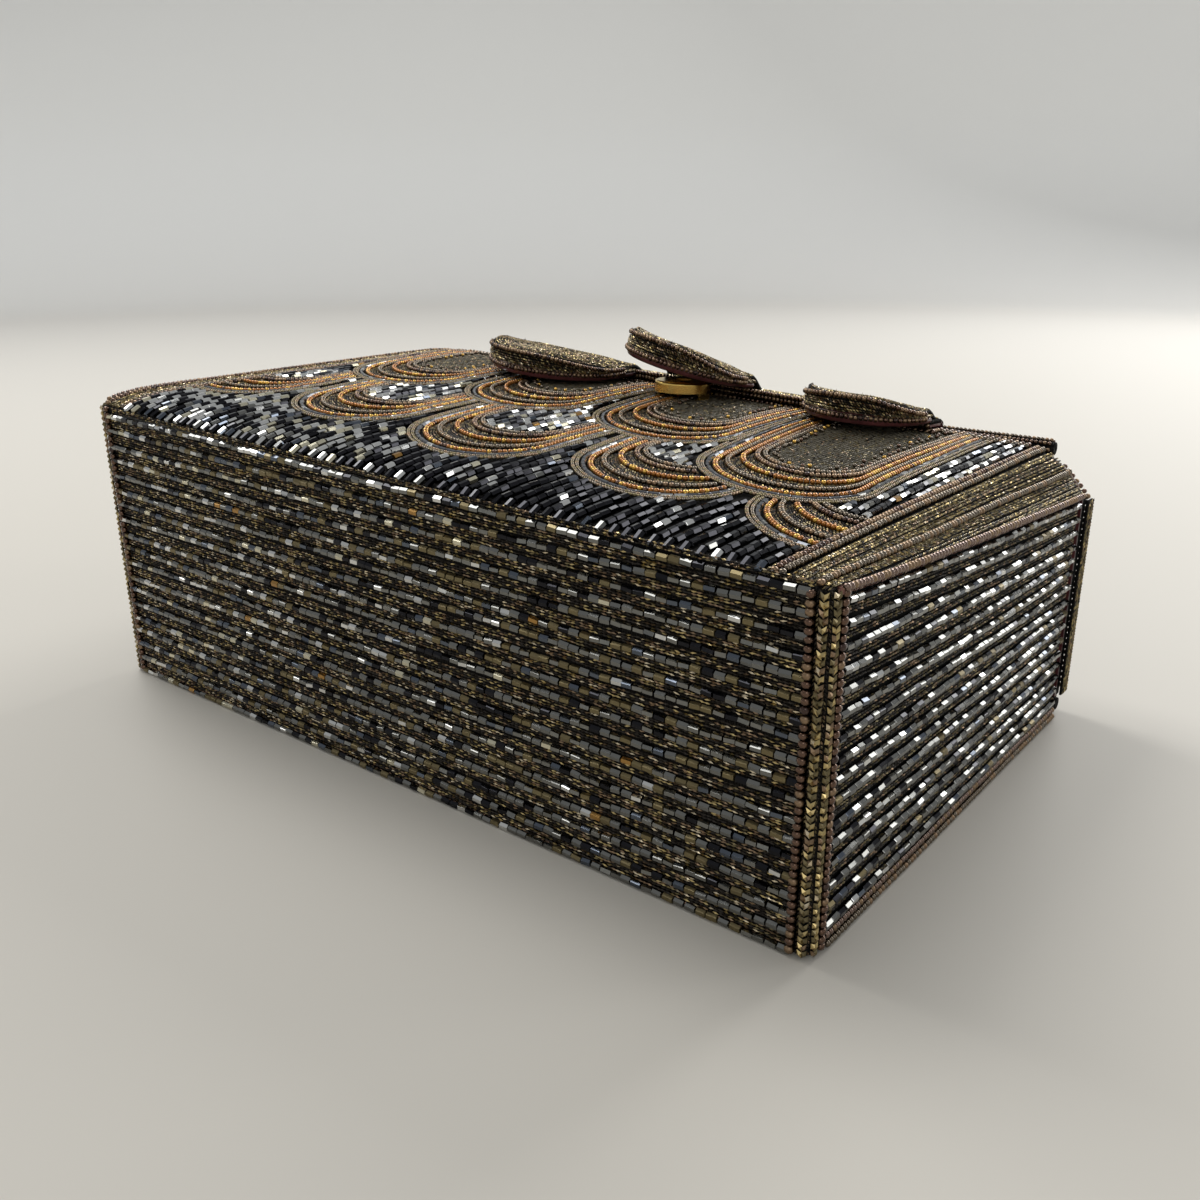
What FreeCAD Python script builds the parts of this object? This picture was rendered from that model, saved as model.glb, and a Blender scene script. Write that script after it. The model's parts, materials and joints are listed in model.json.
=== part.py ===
import FreeCAD, Part
import math
import os
from FreeCAD import Placement, Rotation, Vector

# Beaded box evening bag, lying on its back, in millimetres.
# X runs along the bag's length, +Y towards its mouth, +Z out of its front.
# The origin is the middle of the whole object, on the surface that the back rests on.

# Driving sizes of the closed bag
HALF_LENGTH = 100.0
HALF_HEIGHT = 62.0
FRONT_EDGE_DEPTH = 65.2      # depth at the right end of the bag's bottom edge
LEFT_EDGE_RISE = 4.6         # how much deeper that edge is at the left end
LEFT_FULLNESS = 3.3          # how far the front stands above that edge at the left end
FRONT_CROWN = 1.3            # padding's rise over the middle of the front
MOUTH_TAPER = 1.5            # how much shallower the right end is at the mouth
SHOULDER_WIDTH = 12.0        # border that rolls over towards each end
SHOULDER_DROP_RIGHT = 9.0
SHOULDER_DROP_LEFT = 1.0

# Thickness of each layer of a wall
COVER = 2.0
BOARD = 2.0
LINING = 0.8
GAP = 0.05
WALL = COVER + BOARD + LINING + 2 * GAP

# Corner braids and end pipings
BRAID = 4.5
BRAID_ROUND = 1.6
PIPING_WIDTH = 1.5
PIPING_DEPTH = 1.6

# Board of the front panel, a flat plate that slopes down to the mouth
FRONT_BOARD_TOP = 62.5       # its upper face at the bag's bottom edge
FRONT_BOARD_SLOPE = 0.07
FRONT_BOARD_HALF = 97.5
FRONT_BOARD_FOOT = -59.0
PADDING_LIMIT = 30.0         # more than the deepest padding, to trim its block from

# Lid: the top panel, and the soft welts that it folds on
WELT_RADIUS = 2.4
WELT_CLEARANCE = 0.3
LID_OUTSIDE = HALF_HEIGHT
LID_WALL = WALL
FOLD_Y = LID_OUTSIDE - LID_WALL / 2
BACK_FOLD_Z = WELT_RADIUS
FLAP_FOLD_Z = 62.8
MOUTH_EDGE = FOLD_Y - WELT_RADIUS - 2 * WELT_CLEARANCE
LID_CORNER_CUT = 7.5
BACK_WELT_HALF = 99.0
FLAP_WELT_HALF = 91.0

# Flap: a yoke beside the fold, and three stiffened petals
YOKE_HALF = 65.0
YOKE_FRONT = 50.6
YOKE_LINING = 0.6
YOKE_COVER = 1.5
YOKE_CLEARANCE = 0.35
PETAL_ROOT_Y = 50.0
PETAL_LINING = 0.6
PETAL_BOARD = 1.2
PETAL_COVER = 2.2
LINING_INSET = 0.3
BOARD_INSET = 1.0
PETAL_TIP_ROUND = 0.95       # depth of the rounded tip, as a share of its half width
# name: centre along X, half width, length from the root, height of the root's underside,
# then lift and roll in degrees
PETALS = {
    "left": (-39.0, 19.0, 27.0, 72.5, 1.0, 5.0),
    "centre": (2.5, 15.5, 23.0, 74.5, 9.0, 12.0),
    "right": (50.5, 14.5, 16.0, 68.3, 1.5, 2.0),
}

# Magnetic snap, half on the front panel and half under the centre petal
SNAP_RADIUS = 7.2
SNAP_X = 2.5
SNAP_Y = 40.5
SOCKET_HEIGHT = 2.8
SOCKET_HOLE = 2.3
SOCKET_HOLE_DEPTH = 1.8
SOCKET_WALL = 1.3
SOCKET_ROOF = 0.7
STUD_HEIGHT = 1.4
SNAP_CLEARANCE = 0.45        # between the flat socket and the crowned front
NUB_RADIUS = 2.0
NUB_HEIGHT = 0.9
PRONG_X = 6.4
PRONG_ENTRY = 1.2            # how far the socket's prongs run up into its wall
STUD_PRONG_X = 5.6
PRONG_THICKNESS = 0.8
PRONG_WIDTH = 4.0
PRONG_CLEARANCE = 0.25
PLATE_HALF_LENGTH = 8.2
PLATE_HALF_WIDTH = 3.2
PLATE_THICKNESS = 0.6

SAMPLE_STEP = 5.0


def front_height(x, y):
    """Height of the front panel's outer face."""
    v = y / HALF_HEIGHT
    leftward = (1 - x / HALF_LENGTH) / 2
    mouthward = (1 + v) / 2
    edge = FRONT_EDGE_DEPTH + LEFT_EDGE_RISE * leftward ** 1.2
    crown = LEFT_FULLNESS * leftward * (1 - v ** 10)
    crown += 4 * FRONT_CROWN * leftward * (1 - leftward) * (1 - v ** 4)
    taper = MOUTH_TAPER * (1 - leftward) * mouthward
    past_shoulder = max(0.0, abs(x) - (HALF_LENGTH - SHOULDER_WIDTH)) / SHOULDER_WIDTH
    drop = SHOULDER_DROP_RIGHT if x > 0 else SHOULDER_DROP_LEFT
    return edge + crown - taper - drop * mouthward ** 0.8 * past_shoulder ** 2


def board_height(y):
    """Height of the front board's upper face."""
    return FRONT_BOARD_TOP - FRONT_BOARD_SLOPE * (y + HALF_HEIGHT)


def box(x, y, z):
    """Block between the two limits given for each axis."""
    return Part.makeBox(x[1] - x[0], y[1] - y[0], z[1] - z[0], Vector(x[0], y[0], z[0]))


def samples(low, high):
    """Evenly spaced values from low to high."""
    count = max(3, round((high - low) / SAMPLE_STEP))
    return [low + (high - low) * i / count for i in range(count + 1)]


def front_layer(x, y, below, thickness):
    """Layer that follows the front's outer face, a given depth below it."""
    grid = [[Vector(px, py, front_height(px, py) - below) for py in samples(*y)] for px in samples(*x)]
    surface = Part.BSplineSurface()
    surface.interpolate(grid)
    return surface.toShape().extrude(Vector(0, 0, -thickness))


def end_plate(x, y, bottom, top):
    """Plate square to X, with a lower and an upper edge given as functions of Y."""
    low = [Vector(x[0], py, bottom(py)) for py in samples(*y)]
    high = [Vector(x[0], py, top(py)) for py in samples(*y)]
    lower = Part.BSplineCurve()
    lower.interpolate(low)
    upper = Part.BSplineCurve()
    upper.interpolate(high)
    edges = [
        lower.toShape(),
        Part.makeLine(low[-1], high[-1]),
        upper.toShape(),
        Part.makeLine(high[0], low[0]),
    ]
    face = Part.Face(Part.Wire(Part.__sortEdges__(edges)))
    return face.extrude(Vector(x[1] - x[0], 0, 0))


def sloped_slab(x, y, top_offset, thickness):
    """Flat slab parallel to the front board, its top a given distance above the board's top."""
    tops = [board_height(py) + top_offset for py in y]
    corners = [
        Vector(x[0], y[0], tops[0]),
        Vector(x[0], y[1], tops[1]),
        Vector(x[0], y[1], tops[1] - thickness),
        Vector(x[0], y[0], tops[0] - thickness),
    ]
    face = Part.Face(Part.makePolygon(corners + corners[:1]))
    return face.extrude(Vector(x[1] - x[0], 0, 0))


def cylinder_x(half_length, radius, y, z):
    """Round bar along X."""
    return Part.makeCylinder(radius, 2 * half_length, Vector(-half_length, y, z), Vector(1, 0, 0))


def braid_bays():
    """Room for the two corner braids, cut out of the boards and padding that meet them."""
    bays = []
    for side in (-1, 1):
        x = sorted((side * (HALF_LENGTH - BRAID - GAP), side * (HALF_LENGTH + GAP)))
        bays.append(box(x, (-HALF_HEIGHT - GAP, -HALF_HEIGHT + BRAID + GAP), (0, 2 * FRONT_EDGE_DEPTH)))
    return bays[0].fuse(bays[1])


def back_panel():
    """Back of the bag, which it lies on."""
    inner = HALF_LENGTH - COVER - GAP
    board_z = COVER + GAP
    lining_z = board_z + BOARD + GAP
    lined = HALF_LENGTH - WALL - GAP
    board = box((-inner, inner), (-HALF_HEIGHT + COVER + GAP, MOUTH_EDGE), (board_z, board_z + BOARD))
    return {
        "back_cover": box((-HALF_LENGTH, HALF_LENGTH), (-HALF_HEIGHT, MOUTH_EDGE), (0, COVER)),
        "back_board": board.cut(braid_bays()),
        "back_lining": box((-lined, lined), (-HALF_HEIGHT + WALL + GAP, MOUTH_EDGE),
                           (lining_z, lining_z + LINING)),
    }


def bottom_panel():
    """Bottom of the bag, the long wall at -Y."""
    outer = -HALF_HEIGHT
    board_y = outer + COVER + GAP
    lining_y = board_y + BOARD + GAP
    half = HALF_LENGTH - BRAID - GAP
    lined = HALF_LENGTH - WALL - GAP
    board_foot = COVER + BOARD + 2 * GAP
    board_top = board_height(board_y + BOARD) - BOARD - GAP
    foot = [Vector(half, outer, COVER + GAP), Vector(-half, outer, COVER + GAP)]
    head = [Vector(x, outer, front_height(x, outer) - COVER - 2 * GAP) for x in samples(-half, half)]
    cover = Part.Face(Part.makePolygon(foot + head + foot[:1])).extrude(Vector(0, COVER, 0))
    return {
        "bottom_cover": cover,
        "bottom_board": box((-half, half), (board_y, board_y + BOARD), (board_foot, board_top)),
        "bottom_lining": box((-lined, lined), (lining_y, lining_y + LINING),
                             (board_foot + LINING + GAP, board_top - LINING - GAP)),
    }


def end_gusset(name, side):
    """End wall with its corner braid and piping; side is -1 for the left and 1 for the right."""
    front_y = -HALF_HEIGHT + BRAID + GAP
    end_x = side * HALF_LENGTH

    def layer(depth, thickness):
        """Limits along X of a layer that starts at a depth inside the end."""
        outer = side * (HALF_LENGTH - depth)
        inner = side * (HALF_LENGTH - depth - thickness)
        return (min(outer, inner), max(outer, inner))

    def seam(y):
        """Top of the end's cover, under the front panel's cover."""
        return front_height(end_x, y) - COVER - GAP

    def board_top(y):
        return board_height(y) - BOARD - GAP

    def piping_foot(y):
        return seam(y) + GAP

    def piping_top(y):
        return piping_foot(y) + PIPING_DEPTH

    board_x = layer(COVER + GAP, BOARD)
    lining_x = layer(COVER + BOARD + 2 * GAP, LINING)
    board_foot = COVER + BOARD + 2 * GAP
    braid_x = layer(0, BRAID)
    inner_corner = front_height(end_x - side * BRAID, front_y) - COVER
    seam_foot = min(seam(-HALF_HEIGHT), seam(front_y), inner_corner)
    braid = box(braid_x, (-HALF_HEIGHT, -HALF_HEIGHT + BRAID), (COVER + GAP, seam_foot - GAP))
    corner_edges = [
        edge for edge in braid.Edges
        if all(abs(v.X - end_x) < GAP and abs(v.Y + HALF_HEIGHT) < GAP for v in edge.Vertexes)
    ]
    braid = braid.makeFillet(BRAID_ROUND, corner_edges)
    piping_x = layer(0, PIPING_WIDTH)
    return {
        f"{name}_end_cover": end_plate(layer(0, COVER), (front_y, MOUTH_EDGE), lambda y: COVER + GAP, seam),
        f"{name}_end_board": end_plate(board_x, (front_y, MOUTH_EDGE), lambda y: board_foot, board_top),
        f"{name}_end_lining": end_plate(lining_x, (front_y + WALL, MOUTH_EDGE),
                                        lambda y: board_foot + LINING + GAP, board_top),
        f"{name}_corner_braid": braid,
        f"{name}_piping": end_plate(piping_x, (front_y, MOUTH_EDGE), piping_foot, piping_top),
    }


def prong_pair(centre, spread, low, high, clearance):
    """Two upright prongs either side of a centre; a clearance makes the slots that they pass through."""
    half_thickness = PRONG_THICKNESS / 2 + clearance
    half_width = PRONG_WIDTH / 2 + clearance
    y = (centre.y - half_width, centre.y + half_width)
    middles = (centre.x - spread, centre.x + spread)
    blocks = [box((x - half_thickness, x + half_thickness), y, (low, high)) for x in middles]
    return blocks[0].fuse(blocks[1])


def socket_prongs(clearance):
    """Prongs from the socket down through the front panel to its plate."""
    low = board_height(SNAP_Y - PRONG_WIDTH / 2) - BOARD + GAP
    high = front_height(SNAP_X, SNAP_Y) + PRONG_ENTRY
    overrun = BOARD if clearance else 0
    return prong_pair(Vector(SNAP_X, SNAP_Y, 0), PRONG_X, low - overrun, high + overrun, clearance)


def snap_plate(grow):
    """Thin plate behind the front board; grow makes the recess that it sits in."""
    return sloped_slab((SNAP_X - PLATE_HALF_LENGTH - grow, SNAP_X + PLATE_HALF_LENGTH + grow),
                       (SNAP_Y - PLATE_HALF_WIDTH - grow, SNAP_Y + PLATE_HALF_WIDTH + grow),
                       -BOARD + PLATE_THICKNESS + grow, PLATE_THICKNESS + grow)


def front_panel():
    """Front: lining, board, shaped padding and beaded cover."""
    inner = HALF_LENGTH - PIPING_WIDTH - GAP
    cover_x = (-inner, inner)
    cover_y = (-HALF_HEIGHT, MOUTH_EDGE)
    board_x = (-FRONT_BOARD_HALF, FRONT_BOARD_HALF)
    board_y = (FRONT_BOARD_FOOT, MOUTH_EDGE)
    cover = front_layer(cover_x, cover_y, 0, COVER)
    above_board = sloped_slab(board_x, board_y, PADDING_LIMIT + GAP, PADDING_LIMIT).cut(braid_bays())
    padding = front_layer(cover_x, cover_y, COVER + GAP, PADDING_LIMIT).common(above_board)
    board = sloped_slab(board_x, board_y, 0, BOARD).cut(braid_bays())
    lined = HALF_LENGTH - WALL - GAP
    lining = sloped_slab((-lined, lined), (-HALF_HEIGHT + WALL + GAP, MOUTH_EDGE), -BOARD - GAP, LINING)
    slots = socket_prongs(PRONG_CLEARANCE)
    return {
        "front_cover": cover.cut(slots),
        "front_padding": padding.cut(slots),
        "front_board": board.cut(slots).cut(snap_plate(GAP)),
        "front_lining": lining,
    }


def snap_socket():
    """Lower half of the snap: gold cup with prongs, ring magnet and the plate behind the board."""
    step = SNAP_RADIUS
    rise = front_height(SNAP_X, SNAP_Y + step) - front_height(SNAP_X, SNAP_Y - step)
    tilt = math.degrees(math.atan2(rise, 2 * step))
    seat_height = front_height(SNAP_X, SNAP_Y) + SNAP_CLEARANCE
    seat = Placement(Vector(SNAP_X, SNAP_Y, seat_height), Rotation(Vector(1, 0, 0), tilt))
    cup = Part.makeCylinder(SNAP_RADIUS, SOCKET_HEIGHT)
    rim = [edge for edge in cup.Edges if abs(edge.BoundBox.ZMin - SOCKET_HEIGHT) < GAP]
    cup = cup.makeFillet(SOCKET_ROOF, rim)
    hub = SOCKET_HOLE + SOCKET_ROOF
    bay_outer = SNAP_RADIUS - SOCKET_WALL
    bay_height = SOCKET_HEIGHT - SOCKET_ROOF
    bay = Part.makeCylinder(bay_outer, bay_height).cut(Part.makeCylinder(hub, bay_height))
    hole = Part.makeCylinder(SOCKET_HOLE, SOCKET_HOLE_DEPTH, Vector(0, 0, SOCKET_HEIGHT - SOCKET_HOLE_DEPTH))
    cup = cup.cut(bay).cut(hole)
    magnet_height = bay_height - 2 * GAP
    magnet = Part.makeCylinder(bay_outer - GAP, magnet_height, Vector(0, 0, GAP)).cut(
        Part.makeCylinder(hub + GAP, SOCKET_HEIGHT))
    cup.Placement = seat
    magnet.Placement = seat
    plate = snap_plate(0).cut(socket_prongs(PRONG_CLEARANCE / 2))
    return {
        "snap_socket": cup.fuse(socket_prongs(0)).removeSplitter(),
        "snap_magnet": magnet,
        "snap_socket_plate": plate,
    }


def lid_outline(inset, y, thickness):
    """Top panel's outline, with its two front corners cut off, as a plate square to Y."""
    half = HALF_LENGTH - inset
    foot = BACK_FOLD_Z + WELT_RADIUS + WELT_CLEARANCE
    head = FLAP_FOLD_Z - WELT_RADIUS - WELT_CLEARANCE
    corners = [
        Vector(-half, y, foot),
        Vector(half, y, foot),
        Vector(half, y, head - LID_CORNER_CUT),
        Vector(half - LID_CORNER_CUT, y, head),
        Vector(-half + LID_CORNER_CUT, y, head),
        Vector(-half, y, head - LID_CORNER_CUT),
    ]
    return Part.Face(Part.makePolygon(corners + corners[:1])).extrude(Vector(0, thickness, 0))


def lid_panel():
    """Top panel that closes the mouth, between its two fold welts."""
    cover_y = LID_OUTSIDE - COVER
    board_y = cover_y - GAP - BOARD
    lining_y = board_y - GAP - LINING
    return {
        "lid_cover": lid_outline(0, cover_y, COVER),
        "lid_board": lid_outline(BOARD_INSET, board_y, BOARD),
        "lid_lining": lid_outline(BOARD_INSET, lining_y, LINING),
        "back_fold_welt": cylinder_x(BACK_WELT_HALF, WELT_RADIUS, FOLD_Y, BACK_FOLD_Z),
        "flap_fold_welt": cylinder_x(FLAP_WELT_HALF, WELT_RADIUS, FOLD_Y, FLAP_FOLD_Z),
    }


def flap_yoke():
    """Strip of the flap beside the fold, lying just above the front panel."""
    x = (-YOKE_HALF, YOKE_HALF)
    y = (YOKE_FRONT, MOUTH_EDGE)
    lining_top = YOKE_CLEARANCE + YOKE_LINING
    cover_top = lining_top + GAP + YOKE_COVER
    return {
        "flap_yoke_lining": front_layer(x, y, -lining_top, YOKE_LINING),
        "flap_yoke_cover": front_layer(x, y, -cover_top, YOKE_COVER),
    }


def petal_layer(half_width, length, inset, low, thickness):
    """Flat petal with a straight root on the X axis and a rounded tip towards -Y."""
    half = half_width - inset
    tip_depth = PETAL_TIP_ROUND * half
    straight = length - inset - tip_depth
    centre = Vector(0, -straight, low)
    tip = Part.ArcOfEllipse(Part.Ellipse(centre, half, tip_depth), math.pi, 2 * math.pi).toShape()
    edges = [
        Part.makeLine(Vector(half, -straight, low), Vector(half, -inset, low)),
        Part.makeLine(Vector(half, -inset, low), Vector(-half, -inset, low)),
        Part.makeLine(Vector(-half, -inset, low), Vector(-half, -straight, low)),
        tip,
    ]
    face = Part.Face(Part.Wire(Part.__sortEdges__(edges)))
    return face.extrude(Vector(0, 0, thickness))


def petal_placement(centre_x, root_z, lift, roll):
    """Where a petal made at the origin goes: rolled left side up, then lifted at its tip."""
    turn = Rotation(Vector(1, 0, 0), -lift).multiply(Rotation(Vector(0, 1, 0), roll))
    return Placement(Vector(centre_x, PETAL_ROOT_Y, root_z), turn)


def stud_place():
    """Centre of the snap on the centre petal's underside, in the petal's own frame."""
    return Vector(0, SNAP_Y - PETAL_ROOT_Y, 0)


def stud_prongs(clearance):
    """Short prongs of the stud, through the petal's lining to its plate."""
    top = PETAL_LINING + GAP + PLATE_THICKNESS
    return prong_pair(stud_place(), STUD_PRONG_X, -2 * GAP - clearance, top + clearance, clearance)


def stud_plate(grow):
    """Plate inside the petal that the stud's prongs are bent over; grow makes its recess."""
    centre = stud_place()
    low = PETAL_LINING + GAP - grow
    return box((-PLATE_HALF_LENGTH - grow, PLATE_HALF_LENGTH + grow),
               (centre.y - PLATE_HALF_WIDTH - grow, centre.y + PLATE_HALF_WIDTH + grow),
               (low, low + PLATE_THICKNESS + 2 * grow))


def snap_stud():
    """Upper half of the snap: gold plate with its nub, and the plate inside the petal."""
    centre = stud_place()
    plate = Part.makeCylinder(SNAP_RADIUS, STUD_HEIGHT, centre + Vector(0, 0, -STUD_HEIGHT - GAP))
    nub_foot = centre + Vector(0, 0, -STUD_HEIGHT - NUB_HEIGHT - GAP)
    nub = Part.makeCylinder(NUB_RADIUS, NUB_HEIGHT + GAP, nub_foot)
    return {
        "snap_stud": plate.fuse(nub).fuse(stud_prongs(0)).removeSplitter(),
        "snap_stud_plate": stud_plate(0).cut(stud_prongs(PRONG_CLEARANCE / 2)),
    }


def petal(name, centre_x, half, length, root_z, lift, roll):
    """One petal of the flap: lining, board and beaded cover, with the snap's upper half on the centre one."""
    board_z = PETAL_LINING + GAP
    cover_z = board_z + PETAL_BOARD + GAP
    parts = {
        f"petal_{name}_lining": petal_layer(half, length, LINING_INSET, 0, PETAL_LINING),
        f"petal_{name}_board": petal_layer(half, length, BOARD_INSET, board_z, PETAL_BOARD),
        f"petal_{name}_cover": petal_layer(half, length, 0, cover_z, PETAL_COVER),
    }
    if name == "centre":
        slots = stud_prongs(PRONG_CLEARANCE)
        parts["petal_centre_lining"] = parts["petal_centre_lining"].cut(slots)
        parts["petal_centre_board"] = parts["petal_centre_board"].cut(slots).cut(stud_plate(GAP))
        parts.update(snap_stud())
    place = petal_placement(centre_x, root_z, lift, roll)
    for shape in parts.values():
        shape.Placement = place
    return parts


def build():
    """All the bag's pieces, by name."""
    parts = {}
    parts.update(back_panel())
    parts.update(bottom_panel())
    parts.update(end_gusset("left", -1))
    parts.update(end_gusset("right", 1))
    parts.update(front_panel())
    parts.update(snap_socket())
    parts.update(lid_panel())
    parts.update(flap_yoke())
    for name, sizes in PETALS.items():
        parts.update(petal(name, *sizes))
    return parts


def main():
    os.makedirs("parts", exist_ok=True)
    for name, shape in build().items():
        shape.exportStep(f"parts/{name}.step")
        solids = len(shape.Solids)
        print(f"{name}: {solids} solid, {shape.Volume:.1f} mm3, valid {shape.isValid()}")


main()
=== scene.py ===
import json
import math

import bmesh
import bpy
import numpy as np
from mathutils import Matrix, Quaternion, Vector

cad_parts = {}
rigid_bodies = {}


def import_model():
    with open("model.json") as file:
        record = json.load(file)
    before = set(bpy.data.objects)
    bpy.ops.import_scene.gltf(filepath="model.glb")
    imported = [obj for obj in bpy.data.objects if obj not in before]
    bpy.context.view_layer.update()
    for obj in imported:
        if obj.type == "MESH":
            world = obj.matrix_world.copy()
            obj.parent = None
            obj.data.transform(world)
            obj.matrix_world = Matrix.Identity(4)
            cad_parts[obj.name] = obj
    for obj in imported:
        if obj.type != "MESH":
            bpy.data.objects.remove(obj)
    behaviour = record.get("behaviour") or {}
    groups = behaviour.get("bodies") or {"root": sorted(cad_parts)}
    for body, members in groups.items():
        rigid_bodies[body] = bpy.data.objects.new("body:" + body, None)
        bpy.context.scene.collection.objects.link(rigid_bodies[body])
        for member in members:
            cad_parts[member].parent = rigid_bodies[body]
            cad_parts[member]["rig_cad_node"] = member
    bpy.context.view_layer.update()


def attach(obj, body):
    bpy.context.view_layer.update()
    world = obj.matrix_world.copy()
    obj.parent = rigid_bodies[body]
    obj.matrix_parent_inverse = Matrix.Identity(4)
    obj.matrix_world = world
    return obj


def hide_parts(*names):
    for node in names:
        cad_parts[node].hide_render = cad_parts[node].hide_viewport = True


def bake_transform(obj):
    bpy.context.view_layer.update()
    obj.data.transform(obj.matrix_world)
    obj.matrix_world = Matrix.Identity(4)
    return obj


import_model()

# Beaded box bag. All sizes are in millimetres until a mesh is made.
MM = 0.001
CHANCE = np.random.default_rng(7)

# The bag's own sizes, as in its CAD source
HALF_LENGTH = 100.0
HALF_HEIGHT = 62.0
FRONT_EDGE_DEPTH = 65.2
LEFT_EDGE_RISE = 4.6
LEFT_FULLNESS = 3.3
FRONT_CROWN = 1.3
MOUTH_TAPER = 1.5
SHOULDER_WIDTH = 12.0
SHOULDER_DROP_RIGHT = 9.0
SHOULDER_DROP_LEFT = 1.0
COVER = 2.0
BEAD_ROOM = 1.5              # the beads' share of a cover's thickness
CLOTH = COVER - BEAD_ROOM
PIPING = 1.5
BOARD_TOP = 62.5
BOARD_SLOPE = 0.07
MOUTH_EDGE = 56.55
FOLD_Y = 59.55
BACK_FOLD_Z = 2.4
FLAP_FOLD_Z = 62.8
YOKE_HALF = 65.0
YOKE_FRONT = 50.6
YOKE_RISE = 2.4              # from the front's outer face to the yoke cloth's upper face
PETAL_ROOT_Y = 50.0
PETAL_TIP_ROUND = 0.95
PETAL_LAYERS = 1.9           # lining and board under a petal's cover
# name: centre along X, half width, length, height of the root's underside, lift, roll in degrees
PETALS = {
    "left": (-39.0, 19.0, 27.0, 72.5, 1.0, 5.0),
    "centre": (2.5, 15.5, 23.0, 74.5, 9.0, 12.0),
    "right": (50.5, 14.5, 16.0, 68.3, 1.5, 2.0),
}
EDGE_ROUND = 3.0             # rolled edge where the front meets the bag's bottom
CORNER_ROUND = 3.0
CORNER_HALF = 4.3            # half the width of a corner's braid, measured round the corner

# Beads: length, width and height
BUGLE_SIZE = (2.12, 1.38, 1.3)
BORDER_SEED_SIZE = (1.0, 1.45, 1.35)
FINE_SEED_SIZE = (0.75, 0.85, 0.8)
SLIM_BUGLE_SIZE = (2.12, 1.15, 1.0)
SEED_SIZE = (1.15, 1.7, 1.6)
SMALL_SEED_SIZE = (0.95, 1.25, 1.2)
BACK_SEED_SIZE = (1.15, 1.6, 1.45)
STITCH_SIZE = (1.0, 0.42, 0.4)
CORD_SIZE = (2.6, 1.1, 1.1)
LONG_STITCH_SIZE = (1.35, 0.46, 0.42)
CHAIN_SIZE = (1.7, 1.0, 0.85)
BUGLE_PITCH = 2.28
BORDER_PITCH = 1.2
SMALL_PITCH = 1.05
FLOOR_GAP = 0.02             # lowest that a bead may lie


# ---------------------------------------------------------------- materials

def material(name, color, metallic=0.0, roughness=0.5, coat=0.0):
    """Plain principled material; its node tree is added to by the functions below."""
    made = bpy.data.materials.new(name)
    made.use_nodes = True
    set_inputs(shader_of(made), {"Base Color": (*color, 1), "Metallic": metallic, "Roughness": roughness,
                                 "Coat Weight": coat, "Coat Roughness": 0.08})
    made.diffuse_color = (*color, 1)
    return made


def shader_of(made):
    return made.node_tree.nodes["Principled BSDF"]


def set_inputs(node, values):
    for name, value in values.items():
        node.inputs[name].default_value = value


def add_node(made, kind, **values):
    """New node in a material's tree, with its inputs set by name."""
    node = made.node_tree.nodes.new(f"ShaderNode{kind}")
    set_inputs(node, values)
    return node


def add_ramp(made, *stops):
    """Colour ramp through stops, each a place and a colour."""
    ramp = add_node(made, "ValToRGB")
    elements = ramp.color_ramp.elements
    while len(elements) < len(stops):
        elements.new(0.5)
    for element, (place, color) in zip(elements, stops):
        element.position = place
        element.color = (*color, 1)
    return ramp


def finish_surface(made, pattern, ramp, strength, distance):
    """Colour through a ramp, and a bump, both from one pattern."""
    bump = add_node(made, "Bump", Strength=strength, Distance=distance * MM)
    link = made.node_tree.links.new
    link(pattern, ramp.inputs["Fac"])
    link(ramp.outputs["Color"], shader_of(made).inputs["Base Color"])
    link(pattern, bump.inputs["Height"])
    link(bump.outputs["Normal"], shader_of(made).inputs["Normal"])
    return made


def add_grain(made, dark, light, scale, strength, stretch=(1, 1, 1)):
    """Mottled colour and a fine bump, from noise in the piece's own coordinates."""
    link = made.node_tree.links.new
    place = add_node(made, "TexCoord")
    mapping = add_node(made, "Mapping", Scale=stretch)
    noise = add_node(made, "TexNoise", Scale=scale, Detail=6)
    ramp = add_ramp(made, (0.35, dark), (0.68, light))
    link(place.outputs["Object"], mapping.inputs["Vector"])
    link(mapping.outputs["Vector"], noise.inputs["Vector"])
    return finish_surface(made, noise.outputs["Fac"], ramp, strength, 0.3)


def weave(name, dark, light, pitch, metallic=0.0, roughness=0.8):
    """Woven cloth: two crossed sets of threads, a pitch apart."""
    made = material(name, light, metallic, roughness)
    shader_of(made).inputs["Specular IOR Level"].default_value = 0.1
    link = made.node_tree.links.new
    place = add_node(made, "TexCoord")
    waves = []
    for direction in ("X", "Y"):
        wave = add_node(made, "TexWave", Scale=1 / (pitch * MM * 3.2), Distortion=1.5, Detail=1.0)
        wave.bands_direction = direction
        link(place.outputs["Object"], wave.inputs["Vector"])
        waves.append(wave)
    cross = add_node(made, "Math")
    cross.operation = "MULTIPLY"
    for wave, target in zip(waves, cross.inputs):
        link(wave.outputs["Fac"], target)
    ramp = add_ramp(made, (0, dark), (0.6, light))
    return finish_surface(made, cross.outputs[0], ramp, 0.6, 0.2)


def palette(family, looks):
    """Plain materials of one family, by colour name."""
    return {name: material(f"{family}_{name}", *look) for name, look in looks.items()}


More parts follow.
